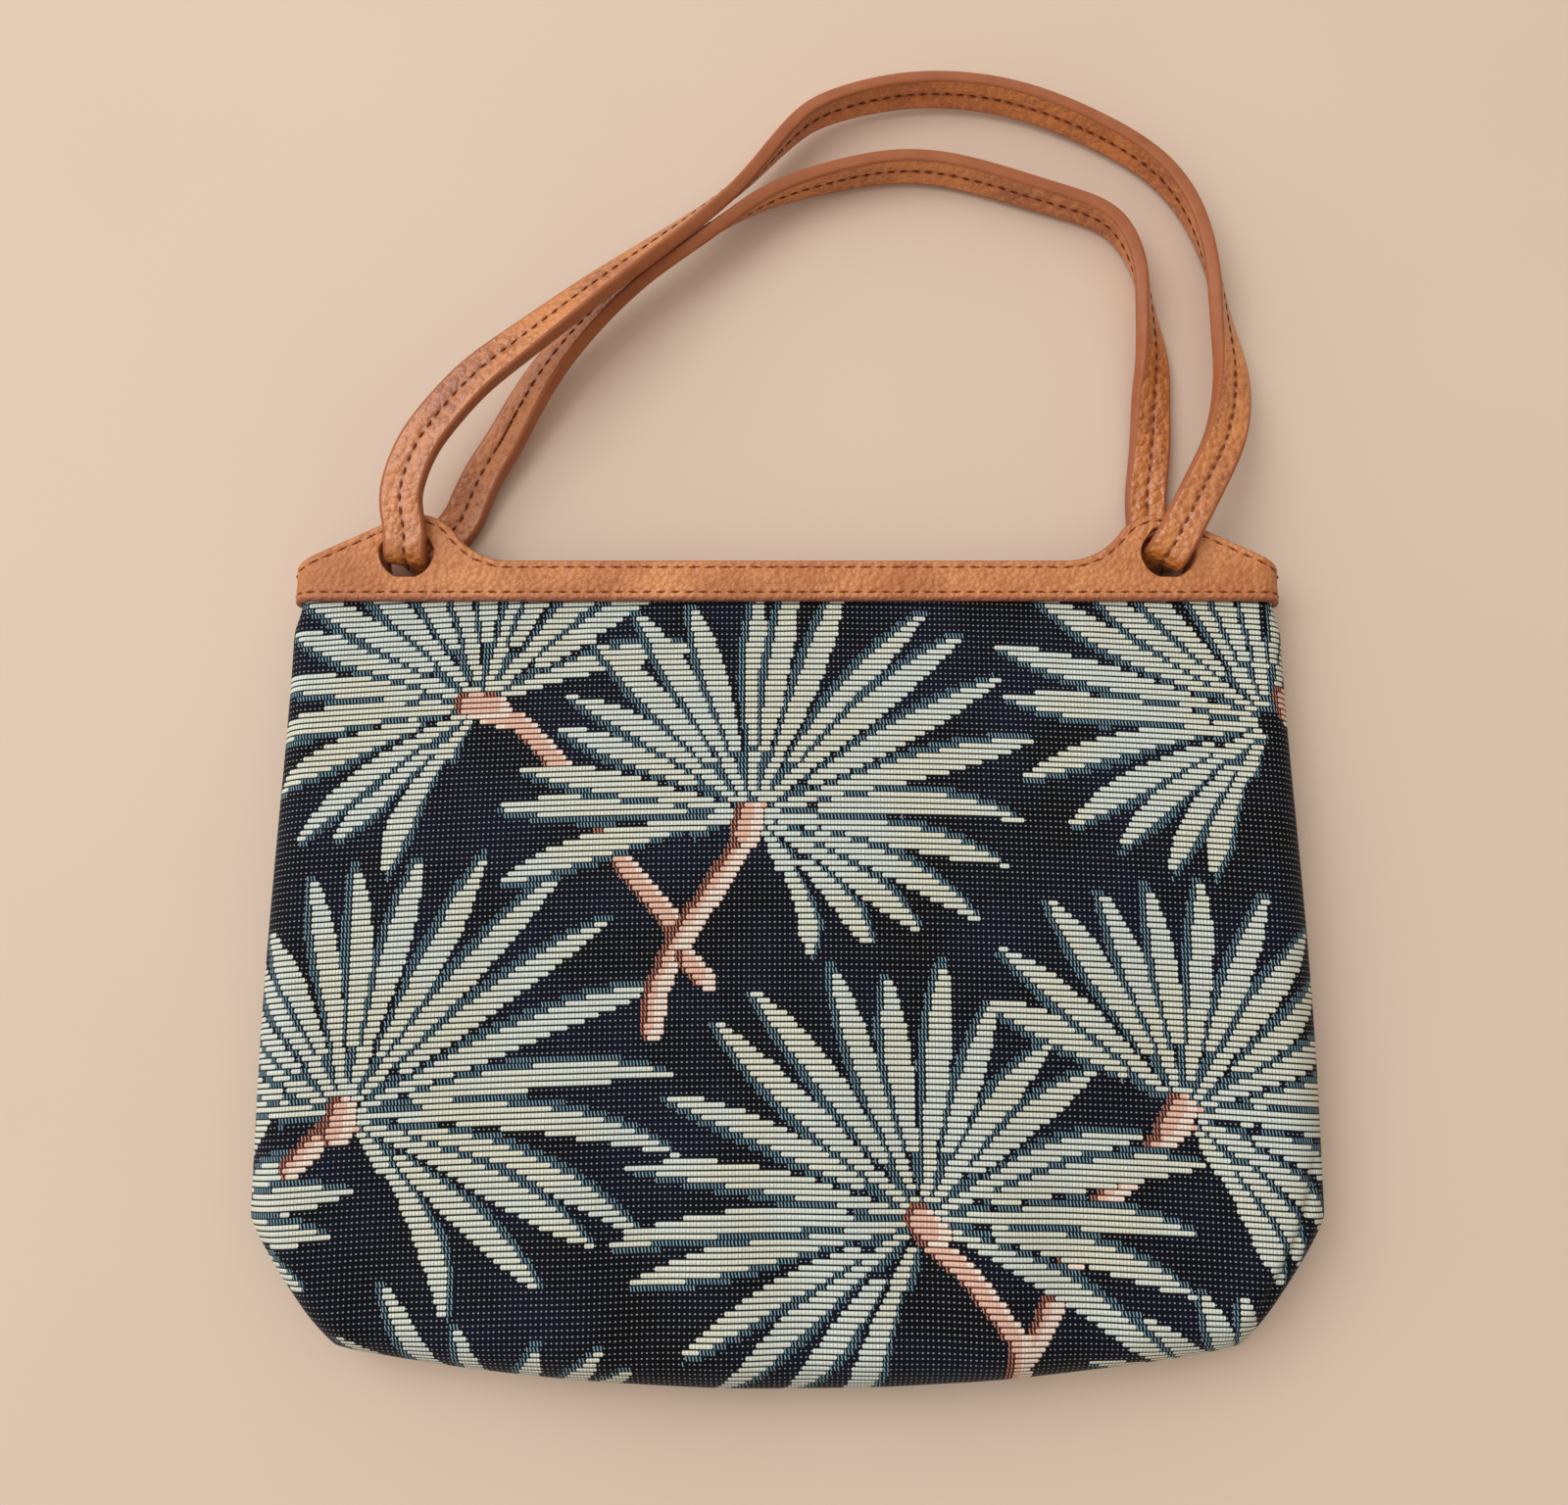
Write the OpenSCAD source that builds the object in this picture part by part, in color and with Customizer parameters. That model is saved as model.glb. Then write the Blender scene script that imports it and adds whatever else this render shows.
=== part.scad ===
// Small jacquard handbag lying on its back, closed, with the front panel up.
// X runs across the bag, Y runs from the bottom edge to the straps, Z is up.
// The origin is on the flat of the back panel, halfway up the fabric.

/* [Bag] */
// Width across the leather band at the mouth
mouth_w = 238; // [200:1:300]
// Width at the widest part of the lower body
body_w = 244; // [210:1:320]
// Height of the fabric that shows below the band
body_h = 180; // [140:1:260]
// How far the front panel stands above the side seam
front_rise = 11; // [8:0.5:24]
// Extra rise in the middle of the front panel
front_crown = 2; // [0:0.5:6]
// Depth of the soft folds in the front panel
fold_depth = 0.7; // [0:0.1:1.5]
// Clear gap between the two facings at the mouth
mouth_gap = 5.6; // [4.5:0.1:9]

/* [Bottom] */
// How far each boxed corner is cut in from the side
corner_w = 20; // [8:1:35]
// How far up the side the corner cut starts
corner_h = 29; // [18:1:45]
// How far the middle of the bottom edge hangs below its ends
bottom_bow = 9; // [0:0.5:16]
// Radius that the fabric is rolled to at the sides and bottom
edge_r = 10; // [6:0.5:14]

/* [Cloth] */
// Thickness of the jacquard fabric
fabric_t = 1.2; // [0.8:0.1:2]
// Thickness of the lining
lining_t = 0.4; // [0.3:0.1:0.8]

/* [Band] */
// Height of the band between the two humps
band_h = 10; // [9:0.5:18]
// Thickness of the band leather
band_t = 1.6; // [1:0.1:2.5]
// How much of the fabric is tucked under the band
tuck = 5; // [3:0.5:8]
// Distance from each end of the band to the middle of its strap hole
hole_inset = 27.5; // [25:0.5:40]
// Leather left between the tucked fabric and each hole
tuck_margin = 0.7; // [0.5:0.1:4]
// Leather left above each hole
hump_margin = 3; // [2:0.25:5]
// Radius of each hump's top
hump_r = 12; // [10:0.5:14]
// How far each hump's middle lies inwards of its hole
hump_shift = 2; // [0:0.25:3]
// Angle of each hump's outer slope
hump_slope = 25; // [20:1:30]
// Radius of each hump's inner sweep down to the straight edge
sweep_r = 16; // [12:1:26]

/* [Strap] */
// Width of the strap
strap_w = 10; // [7:0.5:14]
// Thickness of the strap
strap_t = 3.5; // [2:0.25:4.5]
// Height of the outer loop above the hole centres
strap_rise = 126; // [90:1:180]
// How far the strap is pulled up in its holes
strap_pull = 1; // [0.5:0.1:2]
// Room between the strap and the hole
hole_clear = 0.7; // [0.5:0.1:2]
// Room between the strap and the leather or table that it lies against
strap_clear = 0.4; // [0.3:0.05:0.8]

/* [Hidden] */
$fn = 64;

// Layers at the mouth, measured from the seam plane outwards
facing_t = fabric_t + lining_t;
fabric_half_t = mouth_gap / 2 + facing_t;
band_half_t = fabric_half_t + band_t;
fabric_half_w = mouth_w / 2 - band_t;

// Heights above the table: the back strap lies under the mouth and lifts it
seam_z = band_half_t + strap_t + 2 * strap_clear;
band_front_z = seam_z + band_half_t;
band_back_z = seam_z - band_half_t;

// Lines across the bag
band_y = body_h / 2;
tuck_y = band_y + tuck;
bottom_y = -body_h / 2;
corner_y = bottom_y + corner_h;
front_run = 75;
back_run = 45;
flare_run = 8;
widen = 1.2;
corner_curve = 1.2;

// Two crossing sets of folds in the front, as degrees per mm across and along, and their shares
folds = [[4, 1.2, 1], [7, -2, 0.6]];

// Holes, humps and the arcs that shape the band's top edge
hole_r = norm([strap_w / 2, strap_t / 2 + strap_pull]) + hole_clear;
hole_x = mouth_w / 2 - hole_inset;
hole_y = tuck_y + tuck_margin + hole_r;
hump_top = hole_y + hole_r + hump_margin;
hump_centre = [hole_x - hump_shift, hump_top - hump_r];
band_top = band_y + band_h;
slope_start = hump_centre + hump_r * [sin(hump_slope), cos(hump_slope)];
slope_end = [mouth_w / 2, slope_start.y - (mouth_w / 2 - slope_start.x) * tan(hump_slope)];
sweep_dy = band_top + sweep_r - hump_centre.y;
sweep_dx = sqrt(pow(hump_r + sweep_r, 2) - pow(sweep_dy, 2));
sweep_centre = hump_centre + [-sweep_dx, sweep_dy];
sweep_start = hump_centre + hump_r / (hump_r + sweep_r) * [-sweep_dx, sweep_dy];

// Strap: rounded edges, the tight turn into each hole, and the heights of its two branches
strap_edge = 0.8;
strap_bend_r = 1.9;
strap_turn_r = strap_t / 2 + strap_bend_r;
front_z = band_front_z + strap_clear + strap_t / 2;
back_z = band_back_z - strap_clear - strap_t / 2;

// How far a cut runs past the faces that it goes through
cut_over = 1;

// Facets of the lofted cloth and of the swept strap
upper_rows = 10;
row_bunching = 1.3;
corner_rows = 2;
round_rows = 5;
side_steps = 5;
middle_steps = 18;
turn_steps = 4;
branch_steps = 2;

// Branches from the left holes to the right holes. Each row is the place across as a share of
// hole_x, the place up as a share of strap_rise, the clear height under the strap as a share of
// band_front_z, and the angle at which the strap leans from flat (0) to on edge (90).
front_route = [
    [-1.01, 0.11, 1.11, 0], [-0.97, 0.20, 1.14, 3], [-0.91, 0.26, 1.15, 6], [-0.82, 0.34, 1.13, 10],
    [-0.70, 0.41, 1.02, 20], [-0.52, 0.53, 0.78, 36], [-0.32, 0.65, 0.52, 52], [-0.18, 0.74, 0.35, 64],
    [-0.09, 0.81, 0.26, 76], [0.03, 0.92, 0.21, 90], [0.13, 0.96, 0.17, 97], [0.32, 1.00, 0.12, 103],
    [0.52, 1.00, 0.09, 105], [0.71, 0.97, 0.07, 104], [0.91, 0.90, 0.06, 101], [1.05, 0.83, 0.06, 97],
    [1.14, 0.73, 0.07, 88], [1.18, 0.62, 0.07, 75], [1.19, 0.55, 0.10, 66], [1.20, 0.47, 0.18, 52],
    [1.21, 0.39, 0.32, 34], [1.20, 0.31, 0.51, 18], [1.17, 0.23, 0.71, 8], [1.12, 0.16, 0.90, 3],
    [1.06, 0.08, 1.03, 0]
];
back_route = [
    [-0.89, 0.09, 0.05, 0], [-0.86, 0.14, 0.06, 6], [-0.82, 0.20, 0.09, 12], [-0.77, 0.25, 0.12, 18],
    [-0.69, 0.36, 0.22, 28], [-0.57, 0.47, 0.30, 40], [-0.41, 0.58, 0.34, 50], [-0.29, 0.64, 0.31, 57],
    [-0.16, 0.71, 0.23, 68], [-0.04, 0.77, 0.16, 82], [0.13, 0.81, 0.10, 94], [0.32, 0.84, 0.07, 99],
    [0.51, 0.82, 0.06, 100], [0.71, 0.77, 0.06, 98], [0.85, 0.74, 0.06, 95], [0.93, 0.70, 0.07, 90],
    [0.98, 0.62, 0.05, 80], [0.99, 0.55, 0.03, 70], [1.00, 0.48, 0.03, 54], [1.01, 0.41, 0.03, 36],
    [1.00, 0.34, 0.04, 22], [1.00, 0.27, 0.04, 12], [0.99, 0.20, 0.05, 4], [0.98, 0.13, 0.05, 0]
];
// Directions in which the two branches leave each hole, turned from +Y towards +X
left_front_angle = 4;
left_back_angle = 40;
right_front_angle = 30;
right_back_angle = -16;

function lerp(a, b, t) = a + (b - a) * t;
function ease(t) = let (c = max(0, min(1, t))) c * c * (3 - 2 * c);

// Half width of the fabric, its bow and its half thickness at a height along the middle of the bag
function half_width(y) = y >= corner_y
    ? lerp(mouth_w / 2, body_w / 2, ease(widen * (band_y - y) / (band_y - corner_y)))
        - band_t * (1 - ease((band_y - y) / flare_run))
    : body_w / 2 - corner_w * pow((corner_y - y) / corner_h, corner_curve);
function row_bow(y) = bottom_bow * ease((band_y - y) / (band_y - corner_y));
function fullness(side, y) = ease((band_y - y) / (side > 0 ? front_run : back_run));
function half_thick(side, y) =
    lerp(fabric_half_t, side > 0 ? front_rise : seam_z, fullness(side, y));
function side_r(side, y) = lerp(fabric_half_t, edge_r, fullness(side, y));

// Soft shape of the front: a low crown and slanting folds that fade out towards the band
function fold(f, x, y) = f[2] * sin(f[0] * x + f[1] * y);
function front_swell(x, y) =
    let (across = x / (body_w / 2), down = ease((band_y - y) / body_h))
    front_crown * (1 - across * across) * fullness(1, y)
    + fold_depth * down * (fold(folds[0], x, y) + fold(folds[1], x, y));

// Rows of one cloth surface from the tuck to the bottom seam, inset from the outside of the fabric
function row_heights(inset) = concat(
    [tuck_y, band_y],
    [for (i = [1:upper_rows]) lerp(band_y, corner_y, pow(i / upper_rows, row_bunching))],
    [for (i = [1:corner_rows]) lerp(corner_y, bottom_y + edge_r, i / corner_rows)],
    [for (i = [1:round_rows]) bottom_y + inset + (edge_r - inset) * (1 - cos(90 - 90 * i / round_rows))]
);
function bottom_roll(y, inset) =
    let (d = (y - bottom_y - inset) / (edge_r - inset)) d >= 1 ? 1 : sqrt(max(0, 1 - pow(1 - d, 2)));

// Points across one row, each a place and its share of the full thickness
function row_places(w, r, inset) =
    let (roll = [for (k = [0:side_steps - 1])
        let (a = 90 * k / side_steps) [w - inset - (r - inset) * (1 - cos(a)), sin(a)]])
    concat(
        [for (p = roll) [-p[0], p[1]]],
        [for (k = [0:middle_steps]) [lerp(-(w - r), w - r, k / middle_steps), 1]],
        [for (k = [1:side_steps]) roll[side_steps - k]]
    );
function cloth_row(side, y, inset) =
    let (w = half_width(y), h = half_thick(side, y) - inset, b = bottom_roll(y, inset), bow = row_bow(y))
    [for (p = row_places(w, side_r(side, y), inset))
        let (swell = side > 0 ? front_swell(p[0], y) : 0)
        [p[0], y + bow * pow(p[0] / w, 2), seam_z + side * (h + swell) * p[1] * b]];
function cloth_grid(side, inset) = [for (y = row_heights(inset)) each cloth_row(side, y, inset)];

cloth_columns = 2 * side_steps + middle_steps + 1;
cloth_rows = upper_rows + corner_rows + round_rows + 2;

function quad(a, b, c, d) = [[a, b, c], [a, c, d]];
function flip(faces, on) = on ? [for (f = faces) [f[2], f[1], f[0]]] : faces;

// One closed half shell of cloth between two insets, with its rim on the seam plane
module cloth_half(side, outer, inner) {
    n = cloth_columns;
    m = cloth_rows;
    skin = n * m;
    outside = [for (i = [0:m - 2], j = [0:n - 2])
        each quad(i * n + j, i * n + j + 1, (i + 1) * n + j + 1, (i + 1) * n + j)];
    inside = [for (f = outside) [skin + f[2], skin + f[1], skin + f[0]]];
    ends = [for (j = [0:n - 2]) each concat(
        quad(j, skin + j, skin + j + 1, j + 1),
        quad((m - 1) * n + j + 1, skin + (m - 1) * n + j + 1, skin + (m - 1) * n + j, (m - 1) * n + j))];
    sides = [for (i = [0:m - 2]) each concat(
        quad((i + 1) * n, skin + (i + 1) * n, skin + i * n, i * n),
        quad(i * n + n - 1, skin + i * n + n - 1, skin + (i + 1) * n + n - 1, (i + 1) * n + n - 1))];
    polyhedron(
        points = concat(cloth_grid(side, outer), cloth_grid(side, inner)),
        faces = flip(concat(outside, inside, ends, sides), side < 0)
    );
}

// Flattened tube section at the mouth
module mouth_section(half_w, half_t) {
    square([2 * (half_w - half_t), 2 * half_t], center = true);
    for (s = [-1, 1]) translate([s * (half_w - half_t), 0]) circle(half_t);
}

// Half of a leather wall round the mouth from low_y up, one leather thickness deep
module half_wall(side, half_w, half_t, wall, low_y) {
    translate([0, hump_top, seam_z])
        rotate([90, 0, 0])
            linear_extrude(hump_top - low_y)
                intersection() {
                    difference() {
                        mouth_section(half_w, half_t);
                        mouth_section(half_w - wall, half_t - wall);
                    }
                    translate([-mouth_w, side > 0 ? 0 : -mouth_w]) square([2 * mouth_w, mouth_w]);
                }
}

// Right half of the band's outline, as tall as the bag is thick: straight middle, hump,
// outer slope and inner sweep
module half_outline(low_y) {
    tall = 2 * seam_z;
    foot = [hump_centre.x, low_y];
    translate([0, low_y, 0]) cube([foot.x, band_top - low_y, tall]);
    translate([hump_centre.x, hump_centre.y, 0]) cylinder(h = tall, r = hump_r);
    linear_extrude(tall)
        polygon([foot, hump_centre, slope_start, slope_end, [mouth_w / 2, low_y]]);
    difference() {
        linear_extrude(tall)
            polygon([foot, hump_centre, sweep_start, sweep_centre, [sweep_centre.x, low_y]]);
        translate([sweep_centre.x, sweep_centre.y, -cut_over])
            cylinder(h = tall + 2 * cut_over, r = sweep_r);
    }
}

// A leather wall cut to the band's outline from low_y up, with the two strap holes
module mouth_leather(side, half_w, half_t, wall, low_y) {
    difference() {
        intersection() {
            half_wall(side, half_w, half_t, wall, low_y);
            union() {
                half_outline(low_y);
                mirror([1, 0, 0]) half_outline(low_y);
            }
        }
        for (s = [-1, 1]) translate([s * hole_x, hole_y, 0]) cylinder(h = 2 * seam_z, r = hole_r);
    }
}

// Strap: points of a smooth curve through four stations, with the lean angle as the fourth value
function curve(a, b, c, d, t) = 0.5 * (2 * b + (c - a) * t + (2 * a - 5 * b + 4 * c - d) * t * t
    + (3 * b - a - 3 * c + d) * t * t * t);
function turn_dir(angle) = [sin(angle), cos(angle), 0];
function route_station(p) = [
    p[0] * hole_x, hole_y + p[1] * strap_rise,
    p[2] * band_front_z + sin(p[3]) * strap_w / 2 + abs(cos(p[3])) * strap_t / 2, p[3]
];
function with_lean(p, lean) = [p.x, p.y, p.z, lean];
function hole_leg(s, angle, z, reach) =
    with_lean([s * hole_x, hole_y, z] + (strap_pull + strap_turn_r + reach) * turn_dir(angle), 0);
function branch(route, z, left_angle, right_angle) =
    let (p = concat(
        [hole_leg(-1, left_angle, z, -strap_w), hole_leg(-1, left_angle, z, 0)],
        [for (r = route) route_station(r)],
        [hole_leg(1, right_angle, z, 0), hole_leg(1, right_angle, z, -strap_w)]))
    concat(
        [for (i = [1:len(p) - 3], k = [0:branch_steps - 1])
            curve(p[i - 1], p[i], p[i + 1], p[i + 2], k / branch_steps)],
        [p[len(p) - 2]]);

// Width direction of a branch: level and towards the bag at lean 0, upright at lean 90
function width_dir(points, i) =
    let (a = points[max(0, i - 1)], b = points[min(len(points) - 1, i + 1)],
        t = [b.x - a.x, b.y - a.y, b.z - a.z], level = [t.y, -t.x, 0] / norm([t.x, t.y]),
        up = cross(level, t) / norm(t), lean = points[i][3])
    cos(lean) * level + sin(lean) * up;
function branch_rings(points) = [for (i = [0:len(points) - 1])
    [[points[i].x, points[i].y, points[i].z], width_dir(points, i)]];

// Passage through a pair of holes from the front leg to the back leg, at side s
function hole_rings(s, front_angle, back_angle) =
    let (depth = front_z - back_z - 2 * strap_turn_r, wide = function(a) -s * [cos(a), -sin(a), 0],
        at = function(a, reach, z) [s * hole_x, hole_y, z] + (strap_pull + reach) * turn_dir(a))
    concat(
        [for (k = [1:turn_steps]) let (q = 90 * k / turn_steps)
            [at(front_angle, strap_turn_r * (1 - sin(q)), front_z - strap_turn_r * (1 - cos(q))),
                wide(front_angle)]],
        [for (k = [1:turn_steps - 1]) let (t = k / turn_steps, a = lerp(front_angle, back_angle, ease(t)))
            [at(a, 0, front_z - strap_turn_r - depth * t), wide(a)]],
        [for (k = [0:turn_steps - 1]) let (q = 90 - 90 * k / turn_steps)
            [at(back_angle, strap_turn_r * (1 - sin(q)), back_z + strap_turn_r * (1 - cos(q))),
                wide(back_angle)]]
    );
function reversed(list) = [for (i = [len(list) - 1:-1:0]) list[i]];
function strap_rings() = concat(
    branch_rings(branch(front_route, front_z, left_front_angle, right_front_angle)),
    hole_rings(1, right_front_angle, right_back_angle),
    reversed(branch_rings(branch(back_route, back_z, left_back_angle, right_back_angle))),
    reversed(hole_rings(-1, left_front_angle, left_back_angle))
);

// Rounded strap section: places along the width and across the thickness
strap_section = let (w = strap_w / 2, t = strap_t / 2, e = strap_edge) [
    [w, t - e], [w - e, t], [e - w, t], [-w, t - e], [-w, e - t], [e - w, -t], [w - e, -t], [w, e - t]
];

module front_panel() {
    color("#27304a") cloth_half(1, 0, fabric_t);
}

module back_panel() {
    color("#27304a") cloth_half(-1, 0, fabric_t);
}

module front_lining() {
    color("#3b332d") cloth_half(1, fabric_t, facing_t);
}

module back_lining() {
    color("#3b332d") cloth_half(-1, fabric_t, facing_t);
}

module front_band() {
    color("#b9703f") mouth_leather(1, mouth_w / 2, band_half_t, band_t, band_y);
}

module back_band() {
    color("#b9703f") mouth_leather(-1, mouth_w / 2, band_half_t, band_t, band_y);
}

module front_facing() {
    color("#a5643a") mouth_leather(1, fabric_half_w, fabric_half_t, facing_t, tuck_y);
}

module back_facing() {
    color("#a5643a") mouth_leather(-1, fabric_half_w, fabric_half_t, facing_t, tuck_y);
}

// One closed loop threaded through both bands at both ends
module strap() {
    rings = strap_rings();
    count = len(rings);
    edges = len(strap_section);
    points = [for (i = [0:count - 1])
        let (before = rings[(i + count - 1) % count][0], after = rings[(i + 1) % count][0],
            along = (after - before) / norm(after - before), wide = rings[i][1],
            level = wide - (wide * along) * along, w = level / norm(level), n = cross(along, w))
        each [for (p = strap_section) rings[i][0] + p[0] * w + p[1] * n]];
    faces = [for (i = [0:count - 1], j = [0:edges - 1])
        let (k = (i + 1) % count, l = (j + 1) % edges)
        each quad(i * edges + j, k * edges + j, k * edges + l, i * edges + l)];
    color("#b46a3c") polyhedron(points = points, faces = faces);
}

front_panel();
back_panel();
front_lining();
back_lining();
front_band();
back_band();
front_facing();
back_facing();
strap();
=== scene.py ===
# %% [markdown]
# # A small jacquard handbag with one threaded leather strap
# The bag lies closed on its back and is seen from almost straight above. The construction gives
# every size, so this lesson dresses those solids: woven cloth with a leaf pattern, pebbled leather
# with sewn edges, and a strap that twists as it lies. Lengths are in millimetres until a mesh is made.

# %% Load the construction
import math

import bpy
import numpy as np
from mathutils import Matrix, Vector, geometry


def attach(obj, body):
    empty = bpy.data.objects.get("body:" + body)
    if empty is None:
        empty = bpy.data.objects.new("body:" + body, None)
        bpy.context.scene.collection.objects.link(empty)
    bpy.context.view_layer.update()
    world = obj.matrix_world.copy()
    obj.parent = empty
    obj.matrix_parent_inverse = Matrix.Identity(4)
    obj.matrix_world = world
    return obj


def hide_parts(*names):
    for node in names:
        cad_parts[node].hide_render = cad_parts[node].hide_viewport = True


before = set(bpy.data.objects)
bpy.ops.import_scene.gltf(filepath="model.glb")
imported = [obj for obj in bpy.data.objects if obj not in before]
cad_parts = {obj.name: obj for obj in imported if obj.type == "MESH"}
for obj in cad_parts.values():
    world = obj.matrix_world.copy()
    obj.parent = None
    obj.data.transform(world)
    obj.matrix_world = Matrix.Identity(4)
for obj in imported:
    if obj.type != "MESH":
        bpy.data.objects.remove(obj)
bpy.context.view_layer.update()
MM = 0.001
print("nodes:", sorted(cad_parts))

# %% [markdown]
# ## Camera
# The picture was taken from just below the middle of the bag, tipped a little towards the straps.
# The lens follows from how the bag's size falls off over its depth, so only the tilt and the aim
# are set here. Depth of field stays off.

# %% Camera
CAMERA_TILT = math.radians(8.8)
CAMERA_AIM = Vector((-0.8, 55.8, 0.0)) * MM
CAMERA_DISTANCE = 378.3 * MM
CAMERA_NEAR = 10 * MM
SENSOR_W = 36.0
FOCAL_SHARE = 1570 / 1600

camera_lens = bpy.data.cameras.new("camera")
camera_lens.sensor_width = SENSOR_W
camera_lens.lens = SENSOR_W * FOCAL_SHARE
camera_lens.clip_start = CAMERA_NEAR
camera = bpy.data.objects.new("camera", camera_lens)
camera_back = Vector((0, -math.sin(CAMERA_TILT), math.cos(CAMERA_TILT)))
camera.location = CAMERA_AIM + CAMERA_DISTANCE * camera_back
camera.rotation_euler = (CAMERA_TILT, 0, 0)
bpy.context.collection.objects.link(camera)
bpy.context.scene.camera = camera
bpy.context.scene.view_settings.view_transform = "Standard"
print("camera at", [round(value, 4) for value in camera.location])

# %% [markdown]
# ## Helpers for meshes and node trees
# A mesh is made from arrays of points in millimetres. Small functions for the nodes keep each material
# readable as a formula: a value or a socket can be handed in wherever a number is needed.

# %% Mesh helpers
def smooth_faces(mesh):
    mesh.polygons.foreach_set("use_smooth", [True] * len(mesh.polygons))


def make_piece(name, points, faces, edges=()):
    """A smooth mesh from points in millimetres, as an object at the origin."""
    mesh = bpy.data.meshes.new(name)
    mesh.from_pydata((np.asarray(points) * MM).tolist(), edges, faces)
    mesh.validate()
    smooth_faces(mesh)
    mesh.update()
    piece = bpy.data.objects.new(name, mesh)
    bpy.context.collection.objects.link(piece)
    return piece


def add_values(piece, label, domain, values):
    """Gives each face or each point a number that a shader can read."""
    layer = piece.data.attributes.new(label, "FLOAT", domain)
    layer.data.foreach_set("value", np.asarray(values, np.float32))


def bake_modifiers(piece):
    graph = bpy.context.evaluated_depsgraph_get()
    finished = bpy.data.meshes.new_from_object(piece.evaluated_get(graph))
    piece.modifiers.clear()
    piece.data = finished
    return piece


def hand_over(piece, node=None, finish=None):
    """Gives a finished piece its finish, hides the solid that it stands for and hangs it on the root
    body.
    """
    if finish:
        piece.data.materials.append(finish)
    if node:
        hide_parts(node)
    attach(piece, "root")
    print(piece.name, sum(len(face.vertices) - 2 for face in piece.data.polygons), "triangles")


# %% Node helpers
def srgb(red, green, blue):
    """An 8-bit picture colour as the linear colour that a shader takes."""
    parts = [value / 255 for value in (red, green, blue)]
    linear = [p / 12.92 if p <= 0.04045 else ((p + 0.055) / 1.055) ** 2.4 for p in parts]
    return (*linear, 1.0)


class Formula:
    """A node tree under construction, with one method for each kind of sum that is used here."""

    def __init__(self, tree):
        self.tree = tree

    def node(self, kind, inputs=None, **settings):
        """A new node. Each of its inputs gets a value or the socket that feeds it."""
        node = self.tree.nodes.new(kind)
        for name, value in settings.items():
            setattr(node, name, value)
        for name, value in (inputs or {}).items():
            if isinstance(value, bpy.types.NodeSocket):
                self.tree.links.new(value, node.inputs[name])
            else:
                node.inputs[name].default_value = value
        return node

    def math(self, operation, *values):
        return self.node("ShaderNodeMath", dict(enumerate(values)), operation=operation).outputs[0]

    def times(self, one, two):
        return self.math("MULTIPLY", one, two)

    def off_middle(self, value):
        """Distance from the middle of a cell that runs from 0 to 1."""
        return self.math("ABSOLUTE", self.math("SUBTRACT", value, 0.5))

    def step(self, value, low, high):
        """A smooth change from 0 at low to 1 at high. Low may be the larger of the two."""
        inputs = {"Value": value, "From Min": min(low, high), "From Max": max(low, high),
                  "To Min": float(low > high), "To Max": float(low < high)}
        return self.node("ShaderNodeMapRange", inputs, interpolation_type="SMOOTHSTEP").outputs["Result"]

    def mix(self, share, first, second):
        inputs = {0: share, 6: first, 7: second}
        return self.node("ShaderNodeMix", inputs, data_type="RGBA").outputs[2]


class Shader(Formula):
    """A material under construction. Its constants are set on the surface's own sockets."""

    def __init__(self, name, constants):
        self.material = bpy.data.materials.new(name)
        self.material.use_nodes = True
        super().__init__(self.material.node_tree)
        self.surface = self.tree.nodes["Principled BSDF"]
        for label, value in constants.items():
            self.surface.inputs[label].default_value = value

    def object_mm(self, stretch=(1, 1, 1)):
        """The place on the object in millimetres, stretched along its axes."""
        place = self.node("ShaderNodeTexCoord").outputs["Object"]
        inputs = {"Vector": place, "Scale": [factor / MM for factor in stretch]}
        return self.node("ShaderNodeMapping", inputs).outputs["Vector"]

    def noise(self, place, scale, detail=3.0, roughness=0.5):
        inputs = {"Vector": place, "Scale": scale, "Detail": detail, "Roughness": roughness}
        return self.node("ShaderNodeTexNoise", inputs).outputs["Fac"]

    def cells(self, place, scale, smoothness):
        inputs = {"Vector": place, "Scale": scale, "Smoothness": smoothness}
        return self.node("ShaderNodeTexVoronoi", inputs, feature="SMOOTH_F1").outputs["Distance"]

    def attribute(self, name):
        return self.node("ShaderNodeAttribute", attribute_name=name).outputs["Fac"]

    def finish(self, colour, height=None, depth_mm=0.0, roughness=None):
        links = {"Base Color": colour}
        if roughness is not None:
            links["Roughness"] = roughness
        if height is not None:
            bump = self.node("ShaderNodeBump", {"Distance": depth_mm * MM, "Height": height})
            links["Normal"] = bump.outputs["Normal"]
        for label, socket in links.items():
            self.tree.links.new(socket, self.surface.inputs[label])
        return self.material


def two_tone(name, constants, tones, scale, detail=3.0, bump=None):
    """A material that wavers between two tones, with a finer noise as its bump where one is given."""
    s = Shader(name, constants)
    place = s.object_mm()
    colour = s.mix(s.noise(place, scale, detail), srgb(*tones[0]), srgb(*tones[1]))
    if bump is None:
        return s.finish(colour)
    bump_scale, bump_detail, depth_mm = bump
    return s.finish(colour, s.noise(place, bump_scale, bump_detail), depth_mm)


# %% [markdown]
# ## Floor and light
# A plain pale floor stands for the table. One broad, slightly blue lamp at the upper left is the window
# and gives the soft shadows that fall to the right. The sky fills them. It is brighter and cooler
# towards the window and warm and dim away from it.

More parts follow.
